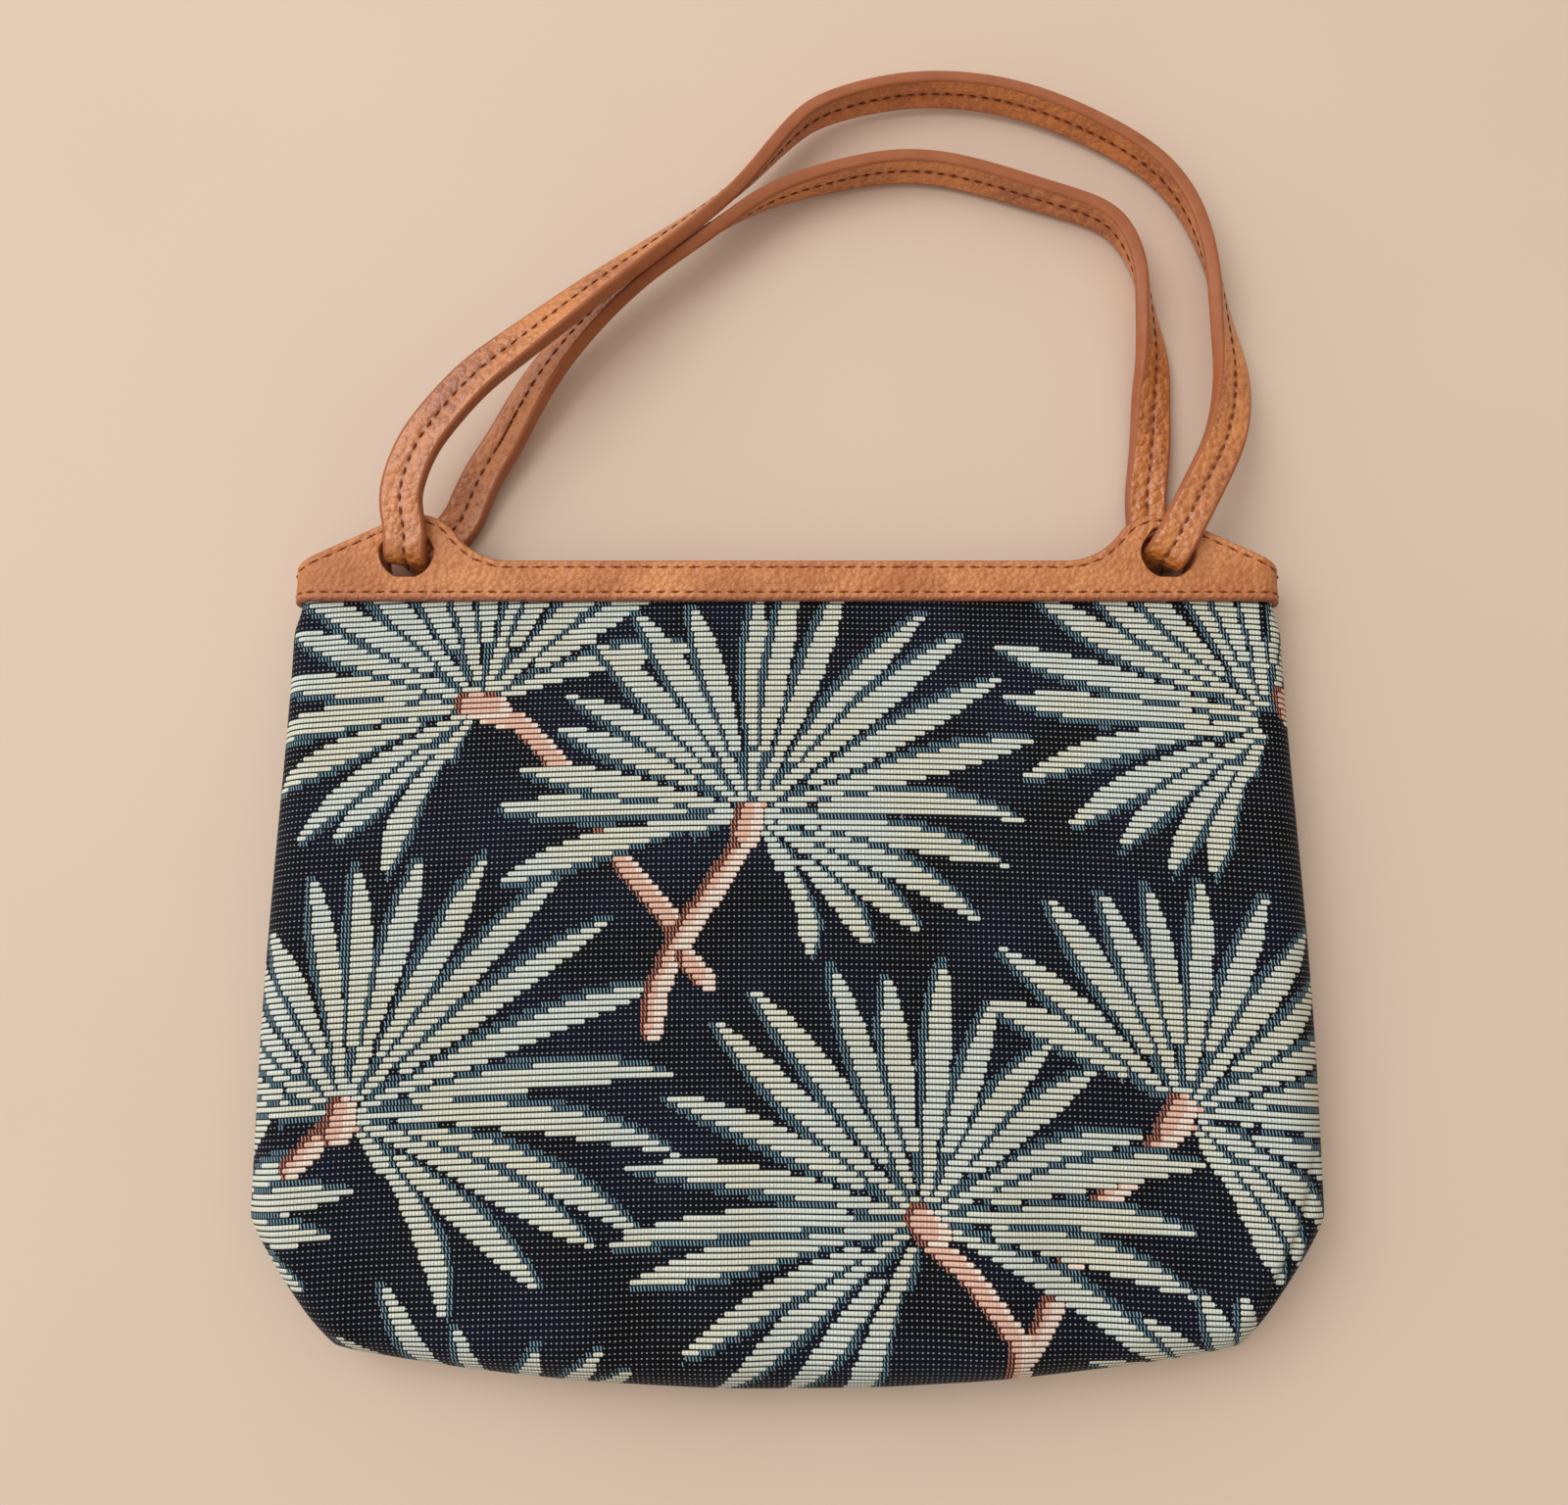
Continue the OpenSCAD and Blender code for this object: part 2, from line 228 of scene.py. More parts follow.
# %% Floor and light
FLOOR_HALF = 3000.0
WINDOW_PLACE = Vector((-840, 540, 1480)) * MM
WINDOW_AIM = Vector((0, 40, 0)) * MM
WINDOW_SIZE = 1250 * MM
WINDOW_WATTS = 12
WINDOW_COLOUR = (0.86, 0.95, 1.02)
SKY_TOWARD = Vector((-0.78, 0.45, 0.44)).normalized()
SKY_MIDDLE = 0.6
SKY_LEAN = 0.58
SKY_WARM = (1.0, 0.91, 0.79, 1.0)
SKY_COOL = (0.96, 0.975, 0.985, 1.0)

floor_corners = FLOOR_HALF * np.array([(-1, -1, 0), (1, -1, 0), (1, 1, 0), (-1, 1, 0)])
floor = make_piece("floor", floor_corners, [(0, 1, 2, 3)])
floor.data.materials.append(
    two_tone("floor_paint", {"Roughness": 0.7}, ((218, 190, 166), (223, 197, 175)), 0.01, 2.0)
)

lamp = bpy.data.lights.new("window", "AREA")
lamp.shape = "DISK"
lamp.size = WINDOW_SIZE
lamp.energy = WINDOW_WATTS
lamp.color = WINDOW_COLOUR
window = bpy.data.objects.new("window", lamp)
window.location = WINDOW_PLACE
window.rotation_euler = (WINDOW_AIM - WINDOW_PLACE).to_track_quat("-Z", "Y").to_euler()
bpy.context.collection.objects.link(window)

sky = bpy.data.worlds.new("sky")
sky.use_nodes = True
glow = Formula(sky.node_tree)
direction = glow.node("ShaderNodeTexCoord").outputs["Generated"]
toward = glow.node("ShaderNodeVectorMath", {0: direction, 1: SKY_TOWARD}, operation="DOT_PRODUCT")
facing = toward.outputs["Value"]
cool_share = glow.node("ShaderNodeMapRange", {"Value": facing, "From Min": -1.0}).outputs["Result"]
background = sky.node_tree.nodes["Background"].inputs
sky.node_tree.links.new(glow.math("MULTIPLY_ADD", facing, SKY_LEAN, SKY_MIDDLE), background["Strength"])
sky.node_tree.links.new(glow.mix(cool_share, SKY_WARM, SKY_COOL), background["Color"])
bpy.context.scene.world = sky
print("floor and light are set")

# %% [markdown]
# ## Sizes from the construction
# These repeat the named sizes of the solids, so that the dressed pieces land exactly where the plain
# ones are.

# %% Sizes
MOUTH_W = 238.0
BODY_W = 244.0
BODY_H = 180.0
FRONT_RISE = 11.0
FRONT_CROWN = 2.0
FOLD_DEPTH = 0.7
MOUTH_GAP = 5.6
CORNER_W = 20.0
CORNER_H = 29.0
BOTTOM_BOW = 9.0
EDGE_R = 10.0
FABRIC_T = 1.2
LINING_T = 0.4
BAND_H = 10.0
BAND_T = 1.6
TUCK = 5.0
HOLE_INSET = 27.5
TUCK_MARGIN = 0.7
HUMP_MARGIN = 3.0
HUMP_R = 12.0
HUMP_SHIFT = 2.0
HUMP_SLOPE = math.radians(25)
SWEEP_R = 16.0
STRAP_W = 10.0
STRAP_T = 3.5
STRAP_RISE = 126.0
STRAP_PULL = 1.0
HOLE_CLEAR = 0.7
STRAP_CLEAR = 0.4
FRONT_RUN = 75.0
BACK_RUN = 45.0
FLARE_RUN = 8.0
WIDEN = 1.2
CORNER_CURVE = 1.2

FACING_T = FABRIC_T + LINING_T
FABRIC_HALF_T = MOUTH_GAP / 2 + FACING_T
BAND_HALF_T = FABRIC_HALF_T + BAND_T
FABRIC_HALF_W = MOUTH_W / 2 - BAND_T
SEAM_Z = BAND_HALF_T + STRAP_T + 2 * STRAP_CLEAR
BAND_FRONT_Z = SEAM_Z + BAND_HALF_T
BAND_BACK_Z = SEAM_Z - BAND_HALF_T
BAND_Y = BODY_H / 2
TUCK_Y = BAND_Y + TUCK
BOTTOM_Y = -BODY_H / 2
CORNER_Y = BOTTOM_Y + CORNER_H
ROLL_Y = BOTTOM_Y + EDGE_R
SIDES = (("front", 1), ("back", -1))
print("seam plane at", SEAM_Z, "mm and band front at", BAND_FRONT_Z, "mm")

# %% [markdown]
# ## The shape of the cloth
# Each half of the bag is one flat piece of cloth that rolls over at the sides and the bottom. The
# functions below find where a point of the flat sheet lies on the bag. Rows of the weave stay straight
# in the sheet, so the pattern is cut off at the seams, as it is on real cloth. The sag and the broad
# folds are the construction's. The loose folds, the puckers and the fold at the corner are made here.

# %% Swell and folds
LOOSE_FOLD = 0.7
LOOSE_WAVE = 31.0
LOOSE_SLANT = 0.12
LOOSE_TOP = 20.0
LOOSE_RUN = 90.0
PUCKER = 0.25
PUCKER_WAVE = 12.0
PUCKER_START = 6.0
PUCKER_REACH = 14.0
CORNER_FOLD = 1.6
CORNER_FOLD_W = 1.3
CORNER_FOLD_BOW = 2.5
FOLD_LOW = (103.0, -74.0)
FOLD_HIGH = (119.0, -38.0)


def lerp(a, b, t):
    return a + (b - a) * t


def ease(t):
    c = np.clip(t, 0, 1)
    return c * c * (3 - 2 * c)


def half_width(y):
    upper = lerp(MOUTH_W / 2, BODY_W / 2, ease(WIDEN * (BAND_Y - y) / (BAND_Y - CORNER_Y)))
    upper = upper - BAND_T * (1 - ease((BAND_Y - y) / FLARE_RUN))
    cut = np.clip((CORNER_Y - y) / CORNER_H, 0, 1) ** CORNER_CURVE
    return np.where(y >= CORNER_Y, upper, BODY_W / 2 - CORNER_W * cut)


def row_bow(y):
    return BOTTOM_BOW * ease((BAND_Y - y) / (BAND_Y - CORNER_Y))


def fullness(side, y):
    return ease((BAND_Y - y) / (FRONT_RUN if side > 0 else BACK_RUN))


def front_swell(x, y):
    across = x / (BODY_W / 2)
    down = ease((BAND_Y - y) / BODY_H)
    folds = np.sin(np.radians(4 * x + 1.2 * y)) + 0.6 * np.sin(np.radians(7 * x - 2 * y))
    return FRONT_CROWN * (1 - across * across) * fullness(1, y) + FOLD_DEPTH * down * folds


def loose_folds(x, y):
    """Upright waves low on the cloth and small puckers under the band."""
    below = BAND_Y - y
    uneven = 0.65 + 0.35 * np.sin(x / 37 + 1)
    wave = np.sin(2 * math.pi * (x + LOOSE_SLANT * y) / LOOSE_WAVE) * uneven
    pucker = np.sin(2 * math.pi * x / PUCKER_WAVE + np.sin(x / 9))
    near_band = np.exp(-(below / PUCKER_REACH) ** 2) * ease(below / PUCKER_START)
    return LOOSE_FOLD * ease((LOOSE_TOP - y) / LOOSE_RUN) * wave + PUCKER * near_band * pucker


def corner_fold(x, y):
    """Depth of the fold that the boxed corner leaves at the lower right."""
    along = np.clip((y - FOLD_LOW[1]) / (FOLD_HIGH[1] - FOLD_LOW[1]), 0, 1)
    bow = np.sin(math.pi * along)
    aside = x - lerp(FOLD_LOW[0], FOLD_HIGH[0], along) - CORNER_FOLD_BOW * bow
    return CORNER_FOLD * np.exp(-(aside / CORNER_FOLD_W) ** 2) * bow ** 0.5


# %% Place of the sheet on the bag
SHEET_HALF_W = 131.0
SHEET_LOW = -99.0
ROW_DROOP = 0.0003
SETTLE_ROUNDS = 14


def quarter_arc(a, b):
    """Length of a quarter of an ellipse, by Ramanujan's short formula."""
    return math.pi / 4 * (3 * (a + b) - np.sqrt((3 * a + b) * (a + 3 * b)))


def cloth_place(side, u, v, inset):
    """Places in space of sheet points u, v, and the same sheet points cut off at the seams."""
    droop = ROW_DROOP if side > 0 else 0.0
    y = v.copy()
    for _ in range(SETTLE_ROUNDS):
        w = half_width(y)
        full = fullness(side, y)
        high = lerp(FABRIC_HALF_T, FRONT_RISE if side > 0 else SEAM_Z, full) - inset
        roll = lerp(FABRIC_HALF_T, EDGE_R, full)
        arc = quarter_arc(roll - inset, high)
        flat = w - roll
        cut_u = np.clip(u, -flat - arc, flat + arc)
        over = np.clip(np.abs(cut_u) - flat, 0, arc)
        turn = math.pi / 2 * (1 - over / arc)
        rolled = w - inset - (roll - inset) * (1 - np.cos(turn))
        x = np.sign(cut_u) * np.where(over > 0, rolled, np.abs(cut_u))
        bow = (x / w) ** 2
        level = v - droop * cut_u ** 2
        start = ROLL_Y + row_bow(ROLL_Y) * bow
        bottom_arc = quarter_arc(EDGE_R - inset, high)
        below = np.clip(start - level, 0, bottom_arc)
        tip = math.pi / 2 * (1 - below / bottom_arc)
        under = BOTTOM_Y + inset + (EDGE_R - inset) * (1 - np.cos(tip))
        y = np.where(below > 0, under, np.minimum(level, TUCK_Y) - row_bow(y) * bow)
    cut_v = np.maximum(v, start - bottom_arc + droop * cut_u ** 2)
    swell = front_swell(x, y) + loose_folds(x, y) if side > 0 else 0.0
    z = SEAM_Z + side * (high + swell) * np.sin(turn) * np.where(below > 0, np.sin(tip), 1.0)
    places = np.stack([x, y + row_bow(y) * bow, z], -1)
    if side > 0:
        fold = corner_fold(x, places[..., 1])
        places[..., 0] -= fold * np.cos(turn)
        places[..., 2] -= fold * np.sin(turn)
    return places, cut_u, cut_v


print("the cloth's sheet is", 2 * SHEET_HALF_W, "by", TUCK_Y - SHEET_LOW, "mm")

# %% [markdown]
# ## The leaf pattern
# The jacquard shows fan palms: long leaflets spread from one point, each pale with a blue-green shaded
# side, on salmon stems with a cream side over a dark ground. Such leaves are a common motif, so they are
# drawn here by a rule: a fan has a middle direction, a spread and a number of leaflets that droop away
# from the middle. The rule is read once for each cell of the weave, which gives the stepped edges of
# real jacquard.

# %% Rule of a fan
GROUND, PALE, SHADED, STEM, STEM_LIGHT, STEM_EDGE = range(6)
LEAF_HALF_W = 2.8
LEAF_ROOM = 0.4
SHADE_W = 2.1
SHADE_END = 0.97
STEM_HALF_W = 2.2
STEM_EDGE_W = 1.3
STEM_LIGHT_W = 2.6
CAP_HALF_W = 3.0
HEART_R = 3.0
FORK_R = 15.0

# Ranges of chance for a leaflet: direction as a share of the gap, length, droop, turn and width
CHANCE_LOW = np.array([-0.14, 0.93, 5, -4, 0.9])
CHANCE_HIGH = np.array([0.14, 1.05, 11, 4, 1.12])


def leaflet_width(t):
    """Half width of a leaflet along its length: narrow at the heart, widest past the middle, pointed."""
    grow = 0.3 + 0.7 * ease(t / 0.5)
    taper = 1 - np.clip((t - 0.66) / 0.34, 0, 1) ** 2
    return LEAF_HALF_W * grow * taper


def draw_fan(yarn, u, v, fan):
    heart_u, heart_v, first, last, count, lengths, seed = fan
    r = np.hypot(u - heart_u, v - heart_v)
    angle = np.degrees(np.arctan2(v - heart_v, u - heart_u))
    gap = (last - first) / (count - 1)
    room = np.radians(gap) * r * np.where(r < FORK_R, 2, 1)
    chances = lerp(CHANCE_LOW, CHANCE_HIGH, np.random.default_rng(seed).random((count, 5)))
    for k in reversed(range(count)):
        share = k / (count - 1)
        swing, stretch, droop, turn, swell = chances[k]
        base = lerp(first, last, share) + swing * gap
        t = r / (np.interp(share, np.linspace(0, 1, len(lengths)), lengths) * stretch)
        bend = (2 * share - 1) * droop + turn
        off = (angle - base - bend * t ** 2 + 180) % 360 - 180
        aside = np.radians(off) * r
        begun = r > (HEART_R if k % 2 == 0 else FORK_R)
        wide = np.minimum(leaflet_width(t) * swell, LEAF_ROOM * room)
        shade = SHADE_W * (1 - 0.5 * np.clip(t, 0, 1) ** 3)
        shade = np.minimum(shade, np.maximum(room - 2 * wide, 0))
        yarn[(t < SHADE_END) & begun & (aside >= wide) & (aside < wide + shade)] = SHADED
        yarn[(t < 1) & begun & (np.abs(aside) < wide)] = PALE


def near_line(u, v, line, half_w):
    found = np.zeros(u.shape, bool)
    for (ax, ay), (bx, by) in zip(line[:-1], line[1:]):
        dx, dy = bx - ax, by - ay
        t = np.clip(((u - ax) * dx + (v - ay) * dy) / (dx * dx + dy * dy), 0, 1)
        found |= np.hypot(u - ax - t * dx, v - ay - t * dy) < half_w
    return found


def draw_stem(yarn, u, v, line, half_w=STEM_HALF_W):
    """A salmon stem with a red left edge and a cream right side."""
    body = near_line(u, v, line, half_w)
    yarn[near_line(u + STEM_EDGE_W, v - STEM_EDGE_W / 2, line, half_w)] = STEM_EDGE
    yarn[body] = STEM_LIGHT
    yarn[body & near_line(u + STEM_LIGHT_W, v - STEM_LIGHT_W / 2, line, half_w)] = STEM


# %% Leaf pattern
# Heart of each fan, first and last direction in degrees, leaflets, lengths from first to last and seed
FRONT_FANS = [
    (-72, 66, 24, 234, 17, (56, 58, 58, 54, 48), 3),
    (114, 64, 72, 238, 15, (50, 54, 60, 67, 58, 42), 5),
    (-64, -124, 42, 134, 8, (46, 51, 53, 51, 52, 68, 63, 52), 12),
    (-144, -47, -52, 46, 8, (40, 46, 46, 40), 14),
    (112, -103, 80, 190, 9, (38, 46, 52, 46), 9),
    (-99, -27, -51, 172, 19, (54, 72, 77, 70, 55, 50, 46), 4),
    (89, -27, -55, 148, 16, (42, 50, 53, 55, 58, 54), 8),
    (-8, 38, -55, 188, 21, (38, 58, 70, 66, 58, 55, 64), 2),
    (30, -52, -22, 244, 21, (70, 63, 51, 59, 64, 70, 63, 58), 7),
]
UNDER_STEMS = [
    [(-72, 64), (-62, 61), (-52, 50), (-44, 40), (-37, 27), (-25, 13), (-24, 8)],
    [(89, -29), (84, -34), (77, -41), (69, -49), (62, -62), (57, -73), (52, -82)],
]
OVER_STEMS = [
    [(-8, 34), (-14, 24), (-24, 9), (-29, -2), (-30, -11)],
    [(-22, 5), (-18, 0)],
    [(-100, -28), (-105, -33), (-110, -38)],
    [(31, -56), (40, -63), (51, -77), (52, -100)],
]
FAN_CAPS = [
    [(-74, 66), (-68, 65)], [(-8, 38), (-9, 33)], [(-99, -26), (-100, -31)],
    [(30, -52), (33, -55)], [(89, -26), (86, -31)], [(119, 70), (120, 67)],
]
BACK_SHIFT = (18, 8)


def front_pattern(u, v):
    yarn = np.full(u.shape, GROUND)
    for line in UNDER_STEMS:
        draw_stem(yarn, u, v, line)
    for fan in FRONT_FANS:
        draw_fan(yarn, u, v, fan)
    for line in OVER_STEMS:
        draw_stem(yarn, u, v, line)
    for line in FAN_CAPS:
        draw_stem(yarn, u, v, line, CAP_HALF_W)
    return yarn


def back_pattern(u, v):
    return front_pattern(BACK_SHIFT[0] - u, v - BACK_SHIFT[1])


def long_floats(woven):
    """Drops floats that are too short to weave: a float passes over at least three columns."""
    for yarn in (PALE, STEM):
        lies = woven == yarn
        middle = lies & np.roll(lies, 1, 1) & np.roll(lies, -1, 1)
        held = middle | np.roll(middle, 1, 1) | np.roll(middle, -1, 1)
        left = np.roll(woven, 1, 1)
        left = np.where(left == yarn, np.roll(woven, 2, 1), left)
        woven = np.where(lies & ~held, left, woven)
    return woven


def woven_cells(pattern, u, v):
    """The yarn on top in each cell of the weave, and the cells where a float begins or ends."""
    yarn = pattern((u[:-1, :-1] + u[1:, 1:]) / 2, (v[:-1, :-1] + v[1:, 1:]) / 2)
    light = yarn == STEM_LIGHT
    woven = long_floats(np.where(light, STEM, yarn))
    return {
        "yarn": np.where(light & (woven == STEM), STEM_LIGHT, woven),
        "left_end": woven != np.roll(woven, 1, 1),
        "right_end": woven != np.roll(woven, -1, 1),
    }


print(len(FRONT_FANS), "fans and", len(UNDER_STEMS + OVER_STEMS), "stems in the pattern")

# %% [markdown]
# ## The jacquard's threads
# The mesh of the cloth has one face for each cell of the weave, and the face carries a number for the
# yarn that lies on top there. The shader draws the threads inside the cell: long pale floats with a dark
# gap between rows, short upright threads on the shaded side, and dots where the ground is bound. The
# dots stand one and a half columns apart, so that a picture of the whole bag can show them.

# %% Jacquard
COLUMN = 0.77
ROW = 1.35
COLUMNS_A_DOT = 1.5
DOT_HALF_W = 0.22
DOT_HALF_H = 0.16
DOT_STRENGTH = 0.5
DOT_TONE = srgb(212, 212, 208)
PALE_DEEP = srgb(140, 138, 112)
STEM_GAP = srgb(84, 40, 30)
TEAL_GAP = srgb(10, 14, 22)
RED_GAP = srgb(60, 28, 28)
YARN_TONES = {
    "ground": ((4, 4, 7), (9, 13, 29)),
    "gap": ((38, 36, 34), (8, 8, 10)),
    "pale": ((252, 248, 226), (244, 250, 242)),
    "stem": ((204, 140, 116), (248, 208, 184)),
    "light": ((214, 178, 156), (255, 242, 224)),
    "teal": ((70, 112, 128), (176, 212, 222)),
    "red": ((184, 98, 70), (236, 174, 144)),
}


def jacquard():
    s = Shader("jacquard", {
        "Roughness": 0.78, "Sheen Weight": 0.03, "Sheen Roughness": 0.45, "Specular IOR Level": 0.12,
    })

    def tones(share, name):
        return s.mix(share, *(srgb(*parts) for parts in YARN_TONES[name]))

    weave = s.node("ShaderNodeUVMap", uv_map="weave").outputs["UV"]
    cell = s.node("ShaderNodeSeparateXYZ", {0: weave}).outputs
    slack = s.times(s.math("SUBTRACT", s.noise(weave, 0.5, 2.0), 0.5), 0.5)
    across = s.math("ADD", cell["X"], slack)
    in_row = s.math("FRACT", cell["Y"])
    off_row = s.off_middle(in_row)
    off_column = s.off_middle(s.math("FRACT", across))
    fibre = s.noise(s.object_mm((0.6, 3.0, 3.0)), 2.4, 3.0, 0.6)
    patch = s.step(s.noise(s.object_mm(), 0.045, 2.0), 0.35, 0.65)

    # Ground with its dots
    dot_u = s.off_middle(s.math("FRACT", s.times(across, 1 / COLUMNS_A_DOT)))
    dot_u = s.math("DIVIDE", dot_u, DOT_HALF_W)
    dot_v = s.math("DIVIDE", off_row, DOT_HALF_H)
    dot = s.step(s.math("ADD", s.times(dot_u, dot_u), s.times(dot_v, dot_v)), 1.0, 0.35)
    ground = s.mix(s.times(dot, DOT_STRENGTH), tones(patch, "ground"), DOT_TONE)

    # Floats with rounded ends
    in_cell = s.math("SUBTRACT", s.math("FRACT", cell["X"]), 0.5)
    to_right = s.times(s.math("MAXIMUM", in_cell, 0.0), s.attribute("right_end"))
    to_left = s.times(s.math("MINIMUM", in_cell, 0.0), s.attribute("left_end"))
    to_end = s.math("SUBTRACT", to_right, to_left)
    float_body = s.step(s.math("MULTIPLY_ADD", s.times(to_end, to_end), 1.5, off_row), 0.44, 0.29)
    strand = s.step(off_column, 0.5, 0.25)
    float_shade = s.math("MULTIPLY_ADD", fibre, 0.5, s.times(strand, 0.5))
    gap = tones(s.step(off_column, 0.1, 0.4), "gap")
    pale = s.mix(float_shade, PALE_DEEP, tones(patch, "pale"))

    # Short upright threads
    slant = s.math("FRACT", s.math("MULTIPLY_ADD", in_row, 0.35, across))
    dash = s.times(s.step(s.off_middle(slant), 0.27, 0.08), s.step(off_row, 0.47, 0.36))

    # The yarn on top
    yarn = s.attribute("yarn")
    kinds = [s.math("COMPARE", yarn, float(kind), 0.3) for kind in (PALE, SHADED, STEM_EDGE)]
    is_pale, is_shaded, is_edge = kinds
    is_stem = s.math("COMPARE", yarn, (STEM + STEM_LIGHT) / 2, 0.6)
    side = s.math("SUBTRACT", yarn, float(STEM))
    stem = s.mix(side, tones(float_shade, "stem"), tones(float_shade, "light"))
    colour = s.mix(is_pale, ground, s.mix(float_body, gap, pale))
    colour = s.mix(is_shaded, colour, s.mix(dash, TEAL_GAP, tones(fibre, "teal")))
    colour = s.mix(is_stem, colour, s.mix(float_body, STEM_GAP, stem))
    colour = s.mix(is_edge, colour, s.mix(dash, RED_GAP, tones(fibre, "red")))

    # Relief
    is_float = s.times(s.math("ADD", is_pale, is_stem), float_body)
    is_dash = s.times(s.math("ADD", is_shaded, is_edge), dash)
    round_row = s.math("SQRT", s.math("MAXIMUM", 0.0, s.math("MULTIPLY_ADD", off_row, -2.0, 1.0)))
    relief = [(dot, 0.3), (round_row, 0.25), (s.times(is_float, round_row), 0.75), (is_dash, 0.5),
              (s.times(is_float, strand), 0.2), (fibre, 0.12)]
    height = 0.0
    for form, share in relief:
        height = s.math("MULTIPLY_ADD", form, share, height)
    return s.finish(colour, height, 0.28)


jacquard_cloth = jacquard()
print("jacquard has", len(jacquard_cloth.node_tree.nodes), "nodes")

# %% [markdown]
# ## Front and back panels
# The sheet is cut into weave cells, each corner is put in its place on the bag, and corners that fall
# outside the seams are drawn back to them. Solidify then gives the cloth its thickness inwards.

# %% Cloth panels
JOIN_DIGITS = 3


def sheet_faces(places, backwards):
    """Points and faces of a grid of places. Corners in one place are joined, empty cells are dropped."""
    flat = places.reshape(-1, 3)
    rounded = np.round(flat, JOIN_DIGITS)
    _, first, shared = np.unique(rounded, axis=0, return_index=True, return_inverse=True)
    shared = shared.reshape(-1)
    number = np.arange(len(flat)).reshape(places.shape[:2])
    corners = [number[:-1, :-1], number[1:, :-1], number[1:, 1:], number[:-1, 1:]]
    cells = np.stack(corners, -1).reshape(-1, 4)
    if backwards:
        cells = cells[:, ::-1]
    faces, face_cells, face_corners = [], [], []
    for order, cell in enumerate(cells):
        kept = [n for i, n in enumerate(cell) if shared[n] != shared[cell[i - 1]]]
        if len({shared[n] for n in kept}) >= 3:
            faces.append([int(shared[n]) for n in kept])
            face_cells.append(order)
            face_corners.extend(kept)
    return flat[first], faces, face_cells, face_corners


def cloth_panel(name, side, inset, thickness, column, row, pattern=None):
    columns = 2 * math.ceil(SHEET_HALF_W / column)
    rows = math.ceil((TUCK_Y - SHEET_LOW) / row)
    grid_u = (np.arange(columns + 1) - columns / 2) * column
    grid_v = TUCK_Y - np.arange(rows + 1) * row
    u, v = np.meshgrid(grid_u, grid_v)
    places, cut_u, cut_v = cloth_place(side, u, v, inset)
    points, faces, face_cells, face_corners = sheet_faces(places, side < 0)
    piece = make_piece(name, points, faces)
    if len(piece.data.polygons) != len(faces):
        raise RuntimeError(name + ": the mesh lost faces")
    weave = np.stack([cut_u / column + columns / 2, cut_v / row - TUCK_Y / row], -1).reshape(-1, 2)
    piece.data.uv_layers.new(name="weave").data.foreach_set("uv", weave[face_corners].ravel())
    if pattern:
        for label, values in woven_cells(pattern, u, v).items():
            add_values(piece, label, "FACE", values.reshape(-1)[face_cells])
    solidify = piece.modifiers.new("thickness", "SOLIDIFY")
    solidify.thickness = thickness * MM
    solidify.offset = -1
    return bake_modifiers(piece)


PATTERNS = {"front": front_pattern, "back": back_pattern}
for half, side in SIDES:
    panel = cloth_panel(half + "_cloth", side, 0.0, FABRIC_T, COLUMN, ROW, PATTERNS[half])
    hand_over(panel, half + "_panel", jacquard_cloth)

# %% [markdown]
# ## Lining
# A thin plain-weave lining follows the inside of the cloth. It is seen only through the mouth.

# %% Lining
LINING_CELL = 4.0
lining_paint = Shader("lining_cloth", {"Roughness": 0.85})
lining_place = lining_paint.object_mm()
lining_wave = lining_paint.node("ShaderNodeTexWave", {"Vector": lining_place, "Scale": 1.2})
lining_tone = lining_paint.noise(lining_place, 0.15)
lining_colour = lining_paint.mix(lining_tone, srgb(58, 50, 44), srgb(76, 66, 58))
lining_cloth = lining_paint.finish(lining_colour, lining_wave.outputs["Fac"], 0.05)
for half, side in SIDES:
    panel = cloth_panel(half + "_lining_cloth", side, FABRIC_T, LINING_T, LINING_CELL, LINING_CELL)
    hand_over(panel, half + "_lining", lining_cloth)

# %% [markdown]
# ## Leather
# The band and the strap are the same tan leather with a pebbled grain. Voronoi cells make the pebbles,
# with a net of another tone in the creases between them: darker on the band and the facing, and a weak
# painted highlight on the strap. Broad noise gives the hide its cloudy tone. The strap is glossier. Its
# cut edges are painted a smooth red-brown, and dirt and painted shade darken the stitch groove down its
# middle.

# %% Leather finishes
COAT_ROUGHNESS = 0.25
# Tone of the painted cut edges. It is also laid at part strength in the strap's stitch groove as dirt and
# painted shade
CUT_EDGE_AND_GROOVE_SHADE_TONE = srgb(140, 76, 44)


def leather(name, tones, pebble_mm, grain_mm, gloss, shine, coat=0.0):
    pale, deep, crease_tone_and_highlight = [srgb(*parts) for parts in tones]
    s = Shader(name, {
        "Roughness": gloss, "Specular IOR Level": shine,
        "Coat Weight": coat, "Coat Roughness": COAT_ROUGHNESS,
    })
    place = s.object_mm()
    bend = s.noise(place, 0.6, 2.0)
    moved = s.node("ShaderNodeVectorMath", {0: place, 1: bend}, operation="ADD").outputs[0]
    pebble = s.cells(moved, 1 / pebble_mm, 0.2)
    crease = s.step(pebble, 0.5, 0.8)
    cloud = s.noise(place, 0.06, 3.0)
    fine = s.noise(place, 3.0, 2.0)
    hide = s.math("MULTIPLY_ADD", fine, 0.35, s.times(cloud, 0.65))
    colour = s.mix(s.step(hide, 0.3, 0.7), deep, pale)
    # Creases are pulled towards the third tone: darker on the band and the facing, and a weak painted
    # highlight on the strap
    colour = s.mix(s.times(crease, 0.6), colour, crease_tone_and_highlight)
    colour = s.mix(s.attribute("cut_edge_and_groove_shade"), colour, CUT_EDGE_AND_GROOVE_SHADE_TONE)
    height = s.math("MULTIPLY_ADD", fine, 0.18, s.math("SUBTRACT", 1.0, pebble))
    rough = s.math("MULTIPLY_ADD", crease, 0.15, gloss)
    return s.finish(colour, height, grain_mm, rough)


